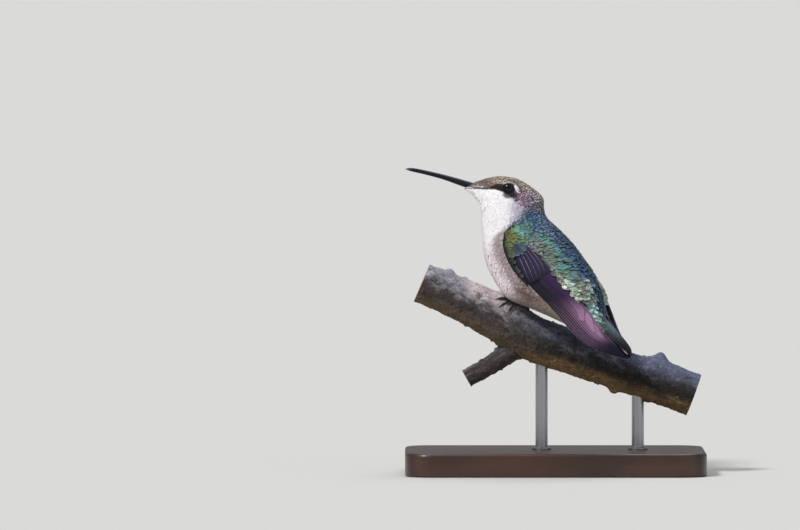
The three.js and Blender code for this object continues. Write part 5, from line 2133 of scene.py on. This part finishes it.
class StageSettings(PropertyGroup):
    """Floor, light and camera."""

    floor: colour_property("Floor", "The floor's colour", (198, 198, 196))
    key: factor("Key light", "Strength of the main soft light", 2.8)
    fill: factor("Fill light", "Strength of the light from the other side", 0.3)
    top: factor("Top light", "Strength of the light overhead", 1.2)
    world: factor("Surround", "Strength of the even light from all round", 0.28)
    lens: FloatProperty(
        name="Lens", description="Focal length of the camera", default=433.1, min=50, unit="CAMERA"
    )


class HUMMINGBIRD_OT_stage(PieceOperator):
    """Builds the floor, the soft lights and the camera"""

    bl_idname = "hummingbird.stage"
    bl_label = "Stage"

    def build(self, settings):
        stage = settings.stage
        scene = bpy.context.scene
        self.floor(stage)
        camera = bpy.data.objects.new("camera", bpy.data.cameras.new("camera"))
        away = Vector((0, -math.cos(CAMERA_TILT), math.sin(CAMERA_TILT)))
        camera.location = Vector(AIM) + CAMERA_DISTANCE * away
        camera.rotation_euler = away.to_track_quat("Z", "Y").to_euler()
        camera.data.sensor_width = 36
        camera.data.lens = stage.lens
        camera.data.clip_start, camera.data.clip_end = 0.05, 200
        scene.collection.objects.link(camera)
        scene.camera = camera
        self.light("key_light", (-0.55, -0.62, 0.8), 12, stage.key, (1.0, 0.985, 0.96))
        self.light("fill_light", (0.8, -0.8, 0.5), 60, stage.fill, (0.93, 0.96, 1.0))
        self.light("top_light", (0.1, 0.3, 1.0), 40, stage.top, (1.0, 1.0, 1.0))
        world = bpy.data.worlds.new("surround")
        world.use_nodes = True
        background = world.node_tree.nodes["Background"]
        background.inputs["Color"].default_value = (0.93, 0.95, 1.0, 1)
        background.inputs["Strength"].default_value = stage.world
        scene.world = world
        scene.view_settings.view_transform = "Standard"

    def floor(self, stage):
        """A wide round floor just under the base."""
        rings = np.array([circle(0, radius, -0.0001, 96) for radius in (60, 20, 6, 2, 0.6, 0.2, 0.02)])
        piece = mesh_object("floor", rings, ring_quads(*rings.shape[:2]))
        g = Graph("floor")
        colour = g.mix(g.noise(220, 3, 0.5), stage.floor, scaled(stage.floor, 0.97))
        piece.data.materials.append(g.set(Base_Color=colour, Roughness=0.95, Specular_IOR_Level=0.1))

    def light(self, name, direction, spread, strength, colour):
        """A soft light from a direction, even over the whole floor."""
        data = bpy.data.lights.new(name, "SUN")
        data.angle = math.radians(spread)
        data.energy = strength
        data.color = colour
        made = bpy.data.objects.new(name, data)
        made.location = direction
        made.rotation_euler = Vector(direction).to_track_quat("Z", "Y").to_euler()
        bpy.context.scene.collection.objects.link(made)


# --- add-on


class HummingbirdSettings(PropertyGroup):
    """Everything about the model that a user may change."""

    body: PointerProperty(type=BodySizes)
    plumage: PointerProperty(type=PlumageColours)
    eyes: PointerProperty(type=EyeSettings)
    bill: PointerProperty(type=BillSettings)
    wing: PointerProperty(type=WingColours)
    tail: PointerProperty(type=TailColours)
    feet: PointerProperty(type=FootSettings)
    perch: PointerProperty(type=PerchSettings)
    stand: PointerProperty(type=StandSettings)
    stage: PointerProperty(type=StageSettings)


OPERATORS = (
    HUMMINGBIRD_OT_stage,
    HUMMINGBIRD_OT_perch,
    HUMMINGBIRD_OT_stand,
    HUMMINGBIRD_OT_skin,
    HUMMINGBIRD_OT_eyes,
    HUMMINGBIRD_OT_bill,
    HUMMINGBIRD_OT_coat,
    HUMMINGBIRD_OT_wings,
    HUMMINGBIRD_OT_tail,
    HUMMINGBIRD_OT_feet,
)


class HUMMINGBIRD_PT_panel(Panel):
    """Lists the pieces and the settings in the 3D view's sidebar"""

    bl_label = "Hummingbird"
    bl_idname = "HUMMINGBIRD_PT_panel"
    bl_space_type = "VIEW_3D"
    bl_region_type = "UI"
    bl_category = "Hummingbird"

    def draw(self, context):
        settings = context.scene.hummingbird
        for operator in OPERATORS:
            self.layout.operator(operator.bl_idname)
        for group in settings.__annotations__:
            box = self.layout.box()
            box.label(text=group.capitalize())
            for name in getattr(settings, group).__annotations__:
                box.prop(getattr(settings, group), name)


CLASSES = (
    PlumageColours, BodySizes, EyeSettings, BillSettings, WingColours, TailColours, FootSettings,
    PerchSettings, StandSettings, StageSettings, HummingbirdSettings, *OPERATORS, HUMMINGBIRD_PT_panel,
)


def register():
    """Adds the add-on's classes and its settings on the scene."""
    for made in CLASSES:
        bpy.utils.register_class(made)
    bpy.types.Scene.hummingbird = PointerProperty(type=HummingbirdSettings)


def unregister():
    """Takes away what register adds."""
    del bpy.types.Scene.hummingbird
    for made in reversed(CLASSES):
        bpy.utils.unregister_class(made)


def main():
    """Builds every piece through its operator."""
    register()
    for made in OPERATORS:
        group, name = made.bl_idname.split(".")
        getattr(getattr(bpy.ops, group), name)()


if __name__ == "__main__":
    main()
